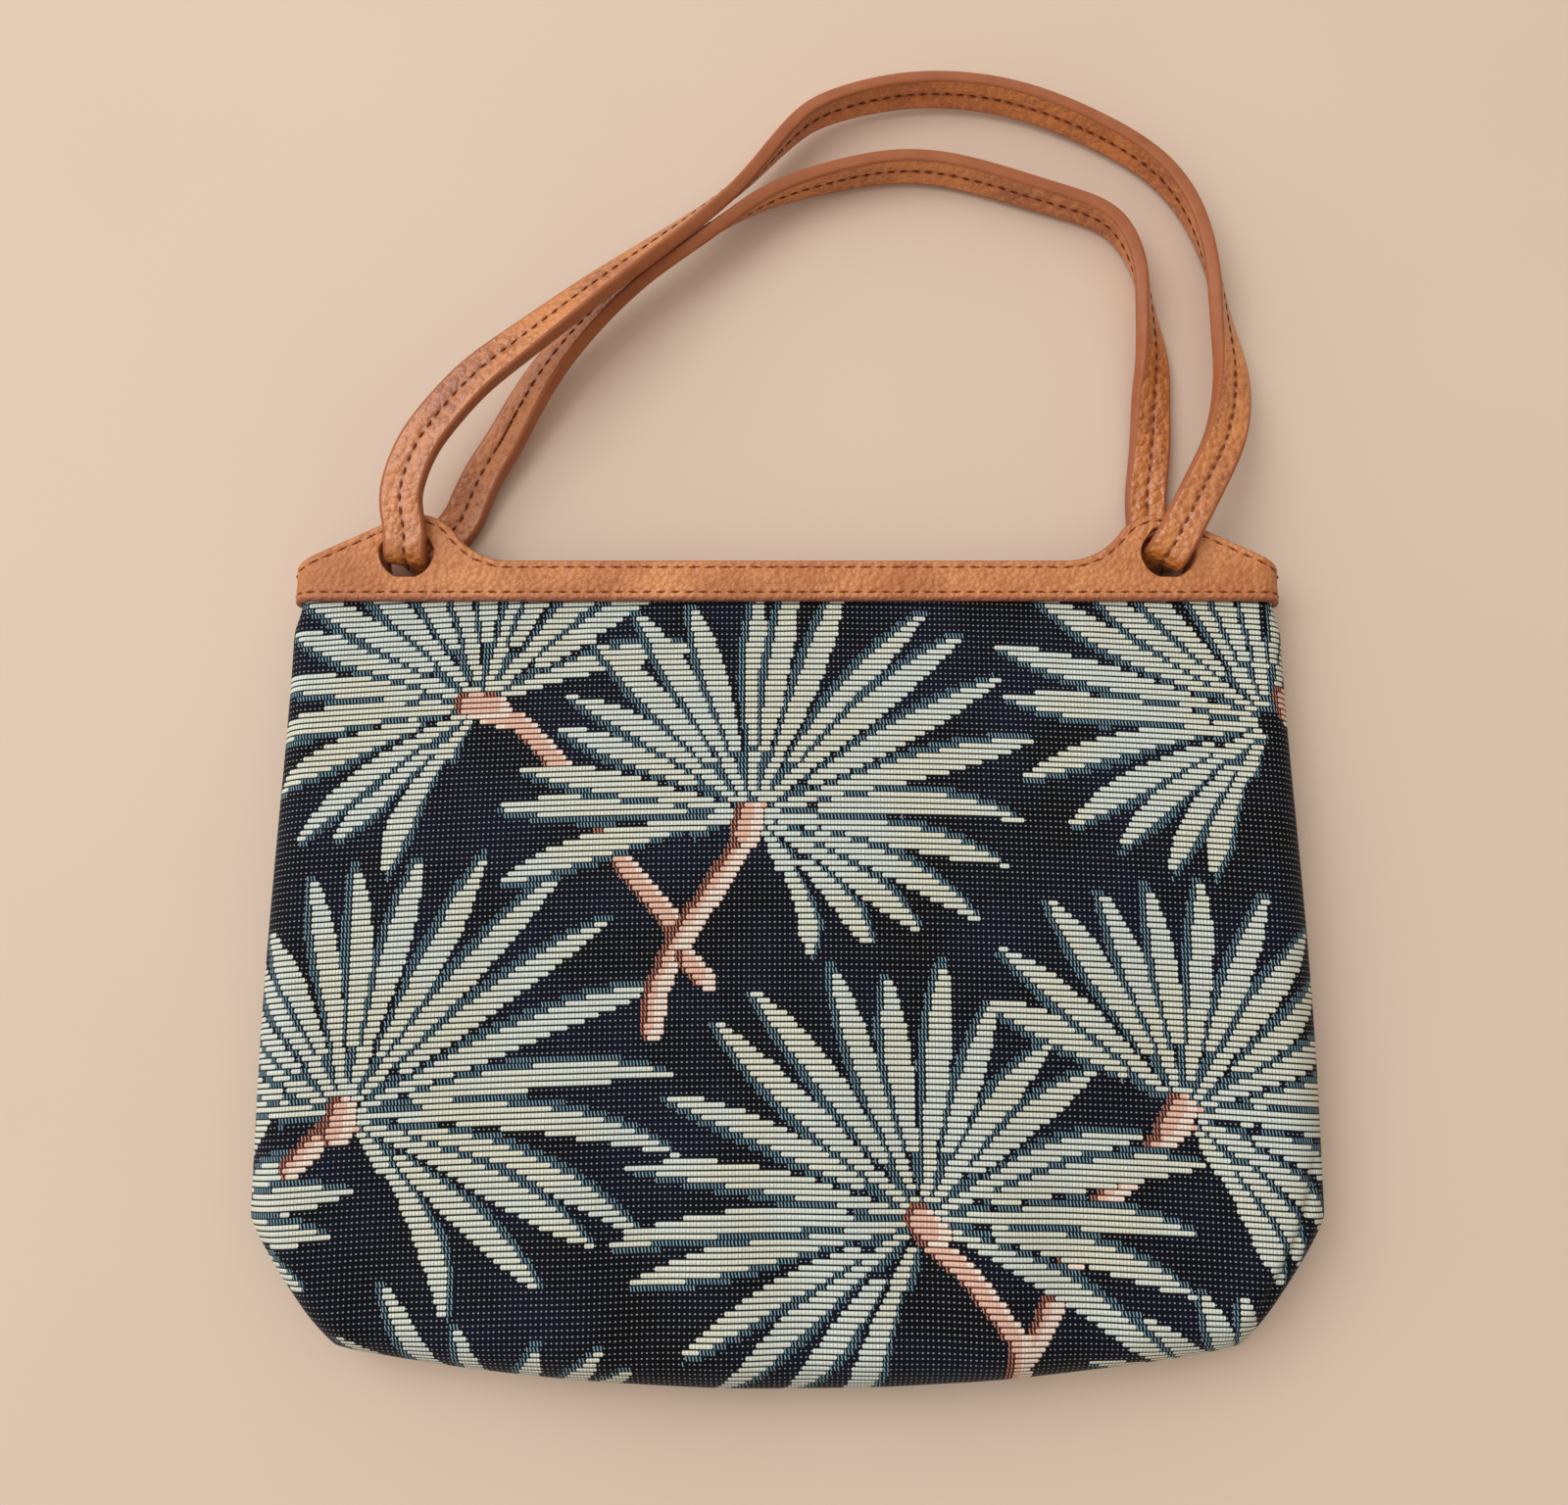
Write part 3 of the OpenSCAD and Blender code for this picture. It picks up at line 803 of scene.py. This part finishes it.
band_leather = leather(
    "band_leather", ((222, 145, 86), (178, 101, 50), (180, 104, 54)), 1.3, 0.45, 0.44, 0.5
)
strap_leather = leather(
    "strap_leather", ((216, 128, 52), (154, 75, 20), (214, 128, 58)), 1.7, 0.62, 0.27, 0.9, 0.2
)
facing_leather = leather(
    "facing_leather", ((176, 112, 72), (150, 90, 56), (150, 90, 56)), 0.8, 0.1, 0.55, 0.4
)
strap_edge_paint = two_tone(
    "strap_edge_paint", {"Roughness": 0.42, "Specular IOR Level": 0.25},
    ((148, 80, 46), (176, 104, 64)), 0.2, 4.0, (1.6, 3.0, 0.08)
)
print("leather finishes are made")

# %% [markdown]
# ## Leather at the mouth
# The bands and the facings behind them are flat pieces cut to one outline, with a hump and a punched
# hole near each end, and wrapped round to the side seams. Each is made flat first: its edge is a stack of
# rings that round it off, and its face is filled with triangles. Then the flat points are wrapped.

# %% Outline of the band
HOLE_R = math.hypot(STRAP_W / 2, STRAP_T / 2 + STRAP_PULL) + HOLE_CLEAR
HOLE_X = MOUTH_W / 2 - HOLE_INSET
HOLE_Y = TUCK_Y + TUCK_MARGIN + HOLE_R
HUMP_TOP = HOLE_Y + HOLE_R + HUMP_MARGIN
HUMP_X = HOLE_X - HUMP_SHIFT
HUMP_Y = HUMP_TOP - HUMP_R
BAND_TOP = BAND_Y + BAND_H
SLOPE_X = HUMP_X + HUMP_R * math.sin(HUMP_SLOPE)
SLOPE_Y = HUMP_Y + HUMP_R * math.cos(HUMP_SLOPE)
SWEEP_Y = BAND_TOP + SWEEP_R
SWEEP_X = HUMP_X - math.sqrt((HUMP_R + SWEEP_R) ** 2 - (SWEEP_Y - HUMP_Y) ** 2)
SWEEP_END_X = HUMP_X + HUMP_R / (HUMP_R + SWEEP_R) * (SWEEP_X - HUMP_X)


def band_top_edge(x):
    """Height of the band's top edge at a place across."""
    a = np.abs(x)
    sweep = SWEEP_Y - np.sqrt(np.maximum(SWEEP_R ** 2 - (a - SWEEP_X) ** 2, 0))
    hump = HUMP_Y + np.sqrt(np.maximum(HUMP_R ** 2 - (a - HUMP_X) ** 2, 0))
    slope = SLOPE_Y - (a - SLOPE_X) * math.tan(HUMP_SLOPE)
    return np.select([a < SWEEP_X, a < SWEEP_END_X, a < SLOPE_X], [BAND_TOP, sweep, hump], slope)


def past_hole(flat):
    """Distance of flat points from the rim of the nearer hole."""
    return np.hypot(np.abs(flat[..., 0]) - HOLE_X, flat[..., 1] - HOLE_Y) - HOLE_R


class Wrap:
    """Wraps flat leather round one half of the mouth."""

    def __init__(self, side, half_w, half_t, wall, low_y):
        self.side = side
        self.half_t = half_t
        self.wall = wall
        self.low_y = low_y
        self.flat = half_w - half_t
        self.end = self.flat + half_t * math.pi / 2

    def turn(self, s):
        return np.clip((np.abs(s) - self.flat) / self.half_t, 0, math.pi / 2)

    def place(self, s, y, depth):
        turn = self.turn(s)
        bent = self.flat + (self.half_t - depth) * np.sin(turn)
        x = np.sign(s) * np.where(np.abs(s) > self.flat, bent, np.abs(s))
        return np.stack([x, y, SEAM_Z + self.side * (self.half_t - depth) * np.cos(turn)], -1)

    def across(self, s):
        """Place across the bag of a place along the flat leather."""
        return self.place(s, 0 * s, 0.0)[..., 0]

    def out(self, s):
        turn = self.turn(s)
        return np.stack([np.sign(s) * np.sin(turn), 0 * s, self.side * np.cos(turn)], -1)


print("hole radius", round(HOLE_R, 2), "mm, hump top at", round(HUMP_TOP, 2), "mm")

# %% Flat leather
EDGE_STEP = 0.9
LOW_EDGE_STEP = 1.6 * EDGE_STEP
OUTLINE_STEPS = 900
HOLE_STEPS = 56
FILL_STEP = 2.2
ROUND_R = 0.55
TOP_STITCH_IN = 1.7
LOW_STITCH_IN = 2.2
GROOVE = 0.16
SEAM_RINGS = ((1.1, 0.0), (TOP_STITCH_IN, GROOVE), (2.3, 0.0))
RING_TO_END = 2.6
RING_TO_HOLE = 1.0
FILL_TO_END = 1.5
FILL_TO_LOW = 3.4
FILL_TO_TOP = 3.9
FILL_TO_HOLE = 1.6


def even_steps(points, spacing):
    """The same open line with points at even distances."""
    points = np.asarray(points, float)
    length = np.concatenate([[0], np.cumsum(np.linalg.norm(np.diff(points, axis=0), axis=1))])
    count = max(2, int(round(length[-1] / spacing)) + 1)
    at = np.linspace(0, length[-1], count)
    return np.stack([np.interp(at, length, points[:, i]) for i in range(points.shape[1])], -1)


def outline_loop(wrap):
    """The flat outline, anticlockwise from the lower left corner."""
    s = np.linspace(wrap.end, -wrap.end, OUTLINE_STEPS)
    top = even_steps(np.stack([s, band_top_edge(wrap.across(s))], -1), EDGE_STEP)
    low = even_steps([(-wrap.end, wrap.low_y), (wrap.end, wrap.low_y)], LOW_EDGE_STEP)
    right = even_steps([low[-1], top[0]], EDGE_STEP)
    left = even_steps([top[-1], low[0]], EDGE_STEP)
    return np.concatenate([low[:-1], right[:-1], top[:-1], left[:-1]])


def hole_loop(middle_s):
    turn = -np.linspace(0, 2 * math.pi, HOLE_STEPS, endpoint=False)
    return np.stack([middle_s + HOLE_R * np.cos(turn), HOLE_Y + HOLE_R * np.sin(turn)], -1)


def unit(vectors):
    return vectors / np.linalg.norm(vectors, axis=-1, keepdims=True)


def moved_in(loop, distance):
    along = unit(np.roll(loop, -1, 0) - np.roll(loop, 1, 0))
    return loop + distance * np.stack([-along[:, 1], along[:, 0]], -1)


def face_points(wrap, outline, stitched):
    """Points inside the face and their depth: rings along the seams and a lattice."""
    rings, depths = [], []
    low = outline[:, 1] < wrap.low_y + 1e-6
    for inset, sunk in SEAM_RINGS:
        ring = moved_in(outline, inset)
        ring[low, 1] = wrap.low_y + inset * LOW_STITCH_IN / TOP_STITCH_IN
        ring = ring[np.abs(ring[:, 0]) < wrap.end - RING_TO_END]
        rings.append(ring)
        depths.append(np.full(len(ring), sunk if stitched else 0.0))
    lattice_s = np.arange(FILL_TO_END - wrap.end, wrap.end - FILL_TO_END + 0.1, FILL_STEP)
    lattice_y = np.arange(wrap.low_y + FILL_TO_LOW, HUMP_TOP, FILL_STEP)
    lattice = np.stack(np.meshgrid(lattice_s, lattice_y), -1).reshape(-1, 2)
    below_edge = band_top_edge(wrap.across(lattice[:, 0])) - lattice[:, 1]
    lattice = lattice[(below_edge > FILL_TO_TOP) & (past_hole(lattice) > FILL_TO_HOLE)]
    points = np.concatenate(rings + [lattice])
    depth = np.concatenate(depths + [np.zeros(len(lattice))])
    clear = past_hole(points) > RING_TO_HOLE
    return points[clear], depth[clear]


def fill_face(loops, free_points, keep):
    """Triangles between the loops, and the number that each given point has among theirs."""
    points = [Vector(p) for p in np.concatenate(loops + [free_points]).tolist()]
    edges, first = [], 0
    for loop in loops:
        edges += [(first + i, first + (i + 1) % len(loop)) for i in range(len(loop))]
        first += len(loop)
    verts, _, faces, sources, _, _ = geometry.delaunay_2d_cdt(points, edges, [], 1, 1e-5)
    found = {source: number for number, given in enumerate(sources) for source in given}
    flat = np.array([(p.x, p.y) for p in verts])
    return flat, [face for face in faces if keep(flat[list(face)].mean(0))], found


# %% Wrapped leather
CUT_EDGE_H = 0.6
CUT_EDGE_FADE = 0.4
RIM_SHARE = 0.5


def wrapped_leather(name, wrap, stitched):
    outline = outline_loop(wrap)
    loops = [outline, hole_loop(-HOLE_X), hole_loop(HOLE_X)]
    free_points, free_depth = face_points(wrap, outline, stitched)

    def keep(p):
        inside = wrap.low_y < p[1] < band_top_edge(wrap.across(p[:1]))[0]
        return inside and past_hole(p) > 0

    flat, tris, found = fill_face([moved_in(loop, ROUND_R) for loop in loops], free_points, keep)
    count = len(flat)
    on_loops = sum(len(loop) for loop in loops)
    depth = np.zeros(count)
    for source, number in found.items():
        if source >= on_loops:
            depth[number] = free_depth[source - on_loops]
    points = [wrap.place(*flat.T, depth), wrap.place(*flat.T, np.full(count, wrap.wall))]
    faces = [tuple(face) for face in tris] + [tuple(count + n for n in reversed(face)) for face in tris]

    first, next_free = 0, 2 * count
    half = ROUND_R * (1 - math.sqrt(0.5))
    profile = [(half, half), (0, ROUND_R), (0, wrap.wall - ROUND_R), (half, wrap.wall - half)]
    for loop in loops:
        n = len(loop)
        front = [found[first + i] for i in range(n)]
        strips = [front]
        for inset, deep in profile:
            points.append(wrap.place(*moved_in(loop, inset).T, np.full(n, deep)))
            strips.append(range(next_free, next_free + n))
            next_free += n
        strips.append([count + number for number in front])
        for one, two in zip(strips[:-1], strips[1:]):
            faces += [(one[(i + 1) % n], one[i], two[i], two[(i + 1) % n]) for i in range(n)]
        first += n
    if wrap.side < 0:
        faces = [tuple(reversed(face)) for face in faces]
    points = np.concatenate(points)
    piece = make_piece(name, points, faces)
    edge_paint_and_groove_shade = np.clip(1 - (points[:, 1] - wrap.low_y - CUT_EDGE_H) / CUT_EDGE_FADE, 0, 1)
    edge_paint_and_groove_shade[count:] = np.maximum(edge_paint_and_groove_shade[count:], RIM_SHARE)
    add_values(piece, "cut_edge_and_groove_shade", "POINT", edge_paint_and_groove_shade)
    return piece


LEATHERS = (
    ("band", band_leather, (MOUTH_W / 2, BAND_HALF_T, BAND_T, BAND_Y)),
    ("facing", facing_leather, (FABRIC_HALF_W, FABRIC_HALF_T, FACING_T, TUCK_Y)),
)
wraps = {}
for kind, finish, sizes in LEATHERS:
    for half, side in SIDES:
        node = half + "_" + kind
        wraps[node] = Wrap(side, *sizes)
        piece = wrapped_leather(node + "_leather", wraps[node], kind == "band")
        hand_over(piece, node, finish)

# %% [markdown]
# ## Strap
# One closed loop of folded leather runs through both pairs of holes and lies half on its edge, so it
# twists. It is swept along the two branches that the construction gives, smoothed and seated a little
# lower in the holes, as in the photo. The section is finer than the solid's: rounded painted edges and
# a shallow groove down the middle of each face for the stitches.

# %% Route of the strap
# Each row is the place across and up as shares, the clearance above the table as a share, and the lean
FRONT_ROUTE = [
    [-1.01, 0.11, 1.11, 0], [-0.97, 0.20, 1.14, 3], [-0.91, 0.26, 1.15, 6], [-0.82, 0.34, 1.13, 10],
    [-0.70, 0.41, 1.02, 20], [-0.52, 0.53, 0.78, 36], [-0.32, 0.65, 0.52, 52], [-0.18, 0.74, 0.35, 64],
    [-0.09, 0.81, 0.26, 76], [0.03, 0.92, 0.21, 90], [0.13, 0.96, 0.17, 97], [0.32, 1.00, 0.12, 103],
    [0.52, 1.00, 0.09, 105], [0.71, 0.97, 0.07, 104], [0.91, 0.90, 0.06, 101], [1.05, 0.83, 0.06, 97],
    [1.14, 0.73, 0.07, 88], [1.18, 0.62, 0.07, 75], [1.19, 0.55, 0.10, 66], [1.20, 0.47, 0.18, 52],
    [1.21, 0.39, 0.32, 34], [1.20, 0.31, 0.51, 18], [1.17, 0.23, 0.71, 8], [1.12, 0.16, 0.90, 3],
    [1.06, 0.08, 1.03, 0],
]
BACK_ROUTE = [
    [-0.89, 0.09, 0.05, 0], [-0.86, 0.14, 0.06, 6], [-0.82, 0.20, 0.09, 12], [-0.77, 0.25, 0.12, 18],
    [-0.69, 0.36, 0.22, 28], [-0.57, 0.47, 0.30, 40], [-0.41, 0.58, 0.34, 50], [-0.29, 0.64, 0.31, 57],
    [-0.16, 0.71, 0.23, 68], [-0.04, 0.77, 0.16, 82], [0.13, 0.81, 0.10, 94], [0.32, 0.84, 0.07, 99],
    [0.51, 0.82, 0.06, 100], [0.71, 0.77, 0.06, 98], [0.85, 0.74, 0.06, 95], [0.93, 0.70, 0.07, 90],
    [0.98, 0.62, 0.05, 80], [0.99, 0.55, 0.03, 70], [1.00, 0.48, 0.03, 54], [1.01, 0.41, 0.03, 36],
    [1.00, 0.34, 0.04, 22], [1.00, 0.27, 0.04, 12], [0.99, 0.20, 0.05, 4], [0.98, 0.13, 0.05, 0],
]
LEFT_FRONT_ANGLE, LEFT_BACK_ANGLE = math.radians(4), math.radians(40)
RIGHT_FRONT_ANGLE, RIGHT_BACK_ANGLE = math.radians(30), math.radians(-16)
TURN_R = STRAP_T / 2 + 1.9
STRAP_HANG = -1.0
FRONT_Z = BAND_FRONT_Z + STRAP_CLEAR + STRAP_T / 2
BACK_Z = BAND_BACK_Z - STRAP_CLEAR - STRAP_T / 2
BRANCH_STEPS = 10
TURN_STEPS = 8
SMOOTH_PASSES = 45


def in_hole(side, angle, reach, z):
    """A place in a hole, moved out along the leg's direction."""
    leg = np.array([math.sin(angle), math.cos(angle), 0.0])
    return np.array([side * HOLE_X, HOLE_Y, z]) + (STRAP_HANG + reach) * leg


def route_station(row):
    across, up, clear, lean = row
    tilt = math.radians(lean)
    z = clear * BAND_FRONT_Z + math.sin(tilt) * STRAP_W / 2 + abs(math.cos(tilt)) * STRAP_T / 2
    return [across * HOLE_X, HOLE_Y + up * STRAP_RISE, z, lean]


def smoothed(line):
    """Takes small waves out of a branch and leaves its ends in the holes as they are."""
    soft = line.copy()
    for _ in range(SMOOTH_PASSES):
        soft[1:-1] = (soft[:-2] + 2 * soft[1:-1] + soft[2:]) / 4
    number = np.arange(len(line))
    from_end = np.minimum(number, number[::-1])[:, None]
    return lerp(line, soft, ease(from_end / (3 * BRANCH_STEPS)))


def branch(route, z, left_angle, right_angle):
    """Points along one branch from left to right, with the direction of the strap's width at each."""
    left = [[*in_hole(-1, left_angle, TURN_R + reach, z), 0.0] for reach in (-STRAP_W, 0)]
    right = [[*in_hole(1, right_angle, TURN_R + reach, z), 0.0] for reach in (0, -STRAP_W)]
    p = np.array(left + [route_station(row) for row in route] + right)
    line = []
    for a, b, c, d in zip(p[:-3], p[1:-2], p[2:-1], p[3:]):
        for t in np.arange(BRANCH_STEPS) / BRANCH_STEPS:
            curve = (2 * a - 5 * b + 4 * c - d) * t ** 2 + (3 * b - a - 3 * c + d) * t ** 3
            line.append(0.5 * (2 * b + (c - a) * t + curve))
    line = smoothed(np.array(line + [p[-2]]))
    along = np.gradient(line[:, :3], axis=0)
    level = unit(np.stack([along[:, 1], -along[:, 0], 0 * along[:, 0]], -1))
    up = unit(np.cross(level, along))
    lean = np.radians(line[:, 3:])
    return line[:, :3], np.cos(lean) * level + np.sin(lean) * up


def through_holes(side, front_angle, back_angle):
    """Points from the front leg to the back leg through one pair of holes."""
    depth = FRONT_Z - BACK_Z - 2 * TURN_R
    q = np.linspace(0, math.pi / 2, TURN_STEPS + 1)[1:]
    quarter = list(zip(TURN_R * (1 - np.sin(q)), TURN_R * (1 - np.cos(q))))
    stations = [(front_angle, reach, FRONT_Z - sunk) for reach, sunk in quarter]
    for t in np.arange(1, TURN_STEPS) / TURN_STEPS:
        angle = float(lerp(front_angle, back_angle, ease(t)))
        stations.append((angle, 0.0, FRONT_Z - TURN_R - depth * t))
    stations += [(back_angle, reach, BACK_Z + raised) for reach, raised in reversed(quarter)]
    line = [in_hole(side, *station) for station in stations]
    wide = [[-side * math.cos(angle), side * math.sin(angle), 0.0] for angle, _, _ in stations]
    return np.array(line), np.array(wide)


def strap_path():
    """Places along the loop, directions of its width and face, and where the back branch begins."""
    front = branch(FRONT_ROUTE, FRONT_Z, LEFT_FRONT_ANGLE, RIGHT_FRONT_ANGLE)
    right = through_holes(1, RIGHT_FRONT_ANGLE, RIGHT_BACK_ANGLE)
    back = branch(BACK_ROUTE, BACK_Z, LEFT_BACK_ANGLE, RIGHT_BACK_ANGLE)
    left = through_holes(-1, LEFT_FRONT_ANGLE, LEFT_BACK_ANGLE)
    line = np.concatenate([front[0], right[0], back[0][::-1], left[0][::-1]])
    wide = np.concatenate([front[1], right[1], back[1][::-1], left[1][::-1]])
    along = unit(np.roll(line, -1, 0) - np.roll(line, 1, 0))
    wide = unit(wide - (wide * along).sum(1, keepdims=True) * along)
    return line, wide, np.cross(along, wide), len(front[0]) + len(right[0])


strap_line, strap_wide, strap_face, BACK_START = strap_path()
STRAP_LENGTH = float(np.linalg.norm(strap_line - np.roll(strap_line, 1, 0), axis=1).sum())
print("strap loop", round(STRAP_LENGTH), "mm long,", len(strap_line), "rings")

# %% Strap
STRAP_EDGE_R = 0.8
STRAP_GROOVE = 0.28
GROOVE_DIPS = [(0.0, 1.0), (0.35, 0.78), (0.8, 0.34), (1.4, 0.08), (2.4, 0.0), (3.4, 0.05)]
GROOVE_HALF_W = 0.5
GROOVE_SHADE_SHARE = 0.4


def strap_section():
    """The closed section as width and height, begun in the middle of one face."""
    w, t, e = STRAP_W / 2, STRAP_T / 2, STRAP_EDGE_R
    upper = [(x, t - dip * STRAP_GROOVE) for x, dip in GROOVE_DIPS]
    for a in np.linspace(0, math.pi / 2, 4):
        upper.append((w - e + e * math.sin(a), t - e + e * math.cos(a)))
    half = upper + [(x, -y) for x, y in reversed(upper)]
    return np.array(half[:-1] + [(-x, y) for x, y in reversed(half)][:-1])


def strap_mesh(section):
    count, n = len(strap_line), len(section)
    points = strap_line[:, None] + section[None, :, :1] * strap_wide[:, None]
    points = points + section[None, :, 1:] * strap_face[:, None]
    faces, painted = [], []
    for i in range(count):
        k = (i + 1) % count
        for j in range(n):
            m = (j + 1) % n
            faces.append((i * n + j, k * n + j, k * n + m, i * n + m))
            painted.append(int(abs(section[j, 0] + section[m, 0]) / 2 > STRAP_W / 2 - STRAP_EDGE_R))
    piece = make_piece("strap_loop", points.reshape(-1, 3), faces)
    piece.data.materials.append(strap_leather)
    piece.data.materials.append(strap_edge_paint)
    piece.data.polygons.foreach_set("material_index", painted)
    # Points down the middle of each face take the cut-edge tone at part strength: dirt and painted shade
    # in the stitch groove
    edge_paint_and_groove_shade = np.where(np.abs(section[:, 0]) < GROOVE_HALF_W, GROOVE_SHADE_SHARE, 0.0)
    add_values(piece, "cut_edge_and_groove_shade", "POINT", np.tile(edge_paint_and_groove_shade, count))
    return piece


hand_over(strap_mesh(strap_section()), "strap")

# %% [markdown]
# ## Stitches
# Red-brown thread is sewn along the top and bottom of the bands and down the middle of the strap.
# Geometry Nodes cut each sewn line into even steps and set a small rounded stitch on each, turned along
# the line. A small dark ball between the stitches is painted shade in the needle hole.

# %% Stitch tree
SWAY = 0.12
NEEDLE_HOLE_W = 0.7 * MM
NEEDLE_HOLE_H = 0.4 * MM
STITCH_SOCKETS = (
    ("Line", "Geometry"), ("Pitch", "Float"), ("Length", "Float"), ("Thickness", "Float"),
    ("Hole length", "Float"), ("Thread", "Material"), ("Hole", "Material"),
)


def stitch_tree():
    tree = bpy.data.node_groups.new("stitches_along_a_line", "GeometryNodeTree")
    for label, kind in STITCH_SOCKETS:
        tree.interface.new_socket(label, in_out="INPUT", socket_type="NodeSocket" + kind)
    tree.interface.new_socket("Stitches", in_out="OUTPUT", socket_type="NodeSocketGeometry")
    new = Formula(tree).node
    given = new("NodeGroupInput").outputs
    curve = new("GeometryNodeMeshToCurve", {"Mesh": given["Line"]}).outputs["Curve"]
    cut = new("GeometryNodeResampleCurve", {"Curve": curve, "Length": given["Pitch"]}, mode="LENGTH")
    ball = new("GeometryNodeMeshUVSphere", {"Segments": 8, "Rings": 5, "Radius": 0.5})

    up = new("GeometryNodeInputNamedAttribute", {"Name": "up"}, data_type="FLOAT_VECTOR")
    axes = new("FunctionNodeAxesToRotation", {
        "Primary Axis": new("GeometryNodeInputTangent").outputs[0],
        "Secondary Axis": up.outputs["Attribute"],
    }, primary_axis="X", secondary_axis="Z").outputs[0]
    sway = new("FunctionNodeRandomValue", {
        "Min": (0, 0, -SWAY), "Max": (0, 0, SWAY), "Seed": 4,
    }, data_type="FLOAT_VECTOR").outputs[0]
    swayed = new("FunctionNodeRotateRotation", {
        "Rotation": axes, "Rotate By": new("FunctionNodeEulerToRotation", {0: sway}).outputs[0],
    }, rotation_space="LOCAL").outputs[0]

    def set_on_steps(turn, size, shift, material):
        """A ball on each step, turned, sized, shifted along the line and painted."""
        placed = new("GeometryNodeInstanceOnPoints", {
            "Points": cut.outputs["Curve"], "Instance": ball.outputs["Mesh"], "Rotation": turn,
            "Scale": new("ShaderNodeCombineXYZ", dict(zip("XYZ", size))).outputs[0],
        }).outputs["Instances"]
        moved = new("GeometryNodeTranslateInstances", {"Instances": placed, "Translation": shift})
        real = new("GeometryNodeRealizeInstances", {"Geometry": moved.outputs["Instances"]})
        inputs = {"Geometry": real.outputs["Geometry"], "Material": material}
        return new("GeometryNodeSetMaterial", inputs).outputs["Geometry"]

    half_step = new("ShaderNodeMath", {0: given["Pitch"], 1: 0.5}, operation="MULTIPLY").outputs[0]
    between = new("ShaderNodeCombineXYZ", {"X": half_step}).outputs[0]
    # The dark ball between the stitches is painted shade in the needle hole
    hole_size = (given["Hole length"], NEEDLE_HOLE_W, NEEDLE_HOLE_H)
    stitch_size = (given["Length"], given["Thickness"], given["Thickness"])
    both = new("GeometryNodeJoinGeometry")
    for part in (set_on_steps(axes, hole_size, between, given["Hole"]),
                 set_on_steps(swayed, stitch_size, (0, 0, 0), given["Thread"])):
        tree.links.new(part, both.inputs["Geometry"])
    new("NodeGroupOutput", {"Stitches": both.outputs["Geometry"]})
    return tree


stitching = stitch_tree()
thread = two_tone(
    "sewing_thread", {"Roughness": 0.7, "Specular IOR Level": 0.15},
    ((112, 48, 22), (160, 82, 42)), 4.0, 2.0, (4.0, 2.0, 0.1)
)
# Dark balls that stand for the shade in the needle holes: painted shade
needle_hole_shade = two_tone(
    "needle_hole_shade", {"Roughness": 0.9, "Specular IOR Level": 0.05}, ((50, 18, 8), (74, 30, 14)), 1.0
)
print("stitch tree has", len(stitching.nodes), "nodes")

# %% Sewing
STITCH_INPUTS = {
    item.name: item.identifier for item in stitching.interface.items_tree if item.in_out == "INPUT"
}


def sew(name, lines, stitch):
    """Sews rows of stitches. Each line is its points and the directions out of the leather."""
    edges, first = [], 0
    for line, _ in lines:
        edges += [(first + i, first + i + 1) for i in range(len(line) - 1)]
        first += len(line)
    piece = make_piece(name, np.concatenate([line for line, _ in lines]), [], edges)
    ups = np.concatenate([up for _, up in lines])
    piece.data.attributes.new("up", "FLOAT_VECTOR", "POINT").data.foreach_set("vector", ups.ravel())
    modifier = piece.modifiers.new("stitches", "NODES")
    modifier.node_group = stitching
    for label, size in zip(("Pitch", "Length", "Thickness", "Hole length"), stitch):
        modifier[STITCH_INPUTS[label]] = size * MM
    modifier[STITCH_INPUTS["Thread"]] = thread
    modifier[STITCH_INPUTS["Hole"]] = needle_hole_shade
    bake_modifiers(piece)
    smooth_faces(piece.data)
    hand_over(piece)


# %% Sewn rows
# Pitch, length and thickness of a stitch, and length of its needle hole
TOP_STITCH = (3.7, 3.0, 0.5, 1.1)
LOW_STITCH = (3.35, 2.5, 0.5, 1.4)
STRAP_STITCH = (3.2, 2.2, 0.5, 1.5)
TACK_STITCH = (2.6, 1.9, 0.6, 1.9)
STITCH_LIFT = 0.02
STRAP_LIFT = 0.12
TACK_LIFT = 0.05
TACK_LOW, TACK_HIGH = 132.0, 148.0
ROW_END = 1.2
ROW_STEPS = 700
ROW_STEP = 0.6


def band_rows(wrap):
    """The row under the band's top edge and the row above its lower edge."""
    s = np.linspace(-wrap.end + ROW_END, wrap.end - ROW_END, ROW_STEPS)
    edge = np.stack([s, band_top_edge(wrap.across(s))], -1)
    along = unit(np.gradient(edge, axis=0))
    top = edge + TOP_STITCH_IN * np.stack([along[:, 1], -along[:, 0]], -1)
    low_y = wrap.low_y + LOW_STITCH_IN
    rows = []
    for line in (top, [(s[0], low_y), (s[-1], low_y)]):
        row = even_steps(line, ROW_STEP)
        depth = np.full(len(row), GROOVE - STITCH_LIFT)
        rows.append((wrap.place(*row.T, depth), wrap.out(row[:, 0])))
    return rows


for node in ("front_band", "back_band"):
    top_row, low_row = band_rows(wraps[node])
    sew(node + "_top_stitches", [top_row], TOP_STITCH)
    sew(node + "_low_stitches", [low_row], LOW_STITCH)

strap_seat = STRAP_T / 2 - STRAP_GROOVE + STRAP_LIFT
once_round = np.arange(len(strap_line) + 1) % len(strap_line)
strap_rows = []
for way in (1, -1):
    out = way * strap_face[once_round]
    strap_rows.append((strap_line[once_round] + strap_seat * out, out))
sew("strap_stitches", strap_rows, STRAP_STITCH)

tack = [
    i for i in range(BACK_START, len(strap_line))
    if strap_line[i, 0] < 0 and TACK_LOW < strap_line[i, 1] < TACK_HIGH
]
tack_out = strap_face[tack] * np.sign(strap_face[tack][:, 2:])
tack_line = strap_line[tack] + (strap_seat + TACK_LIFT) * tack_out
sew("strap_tack", [(tack_line, tack_out)], TACK_STITCH)
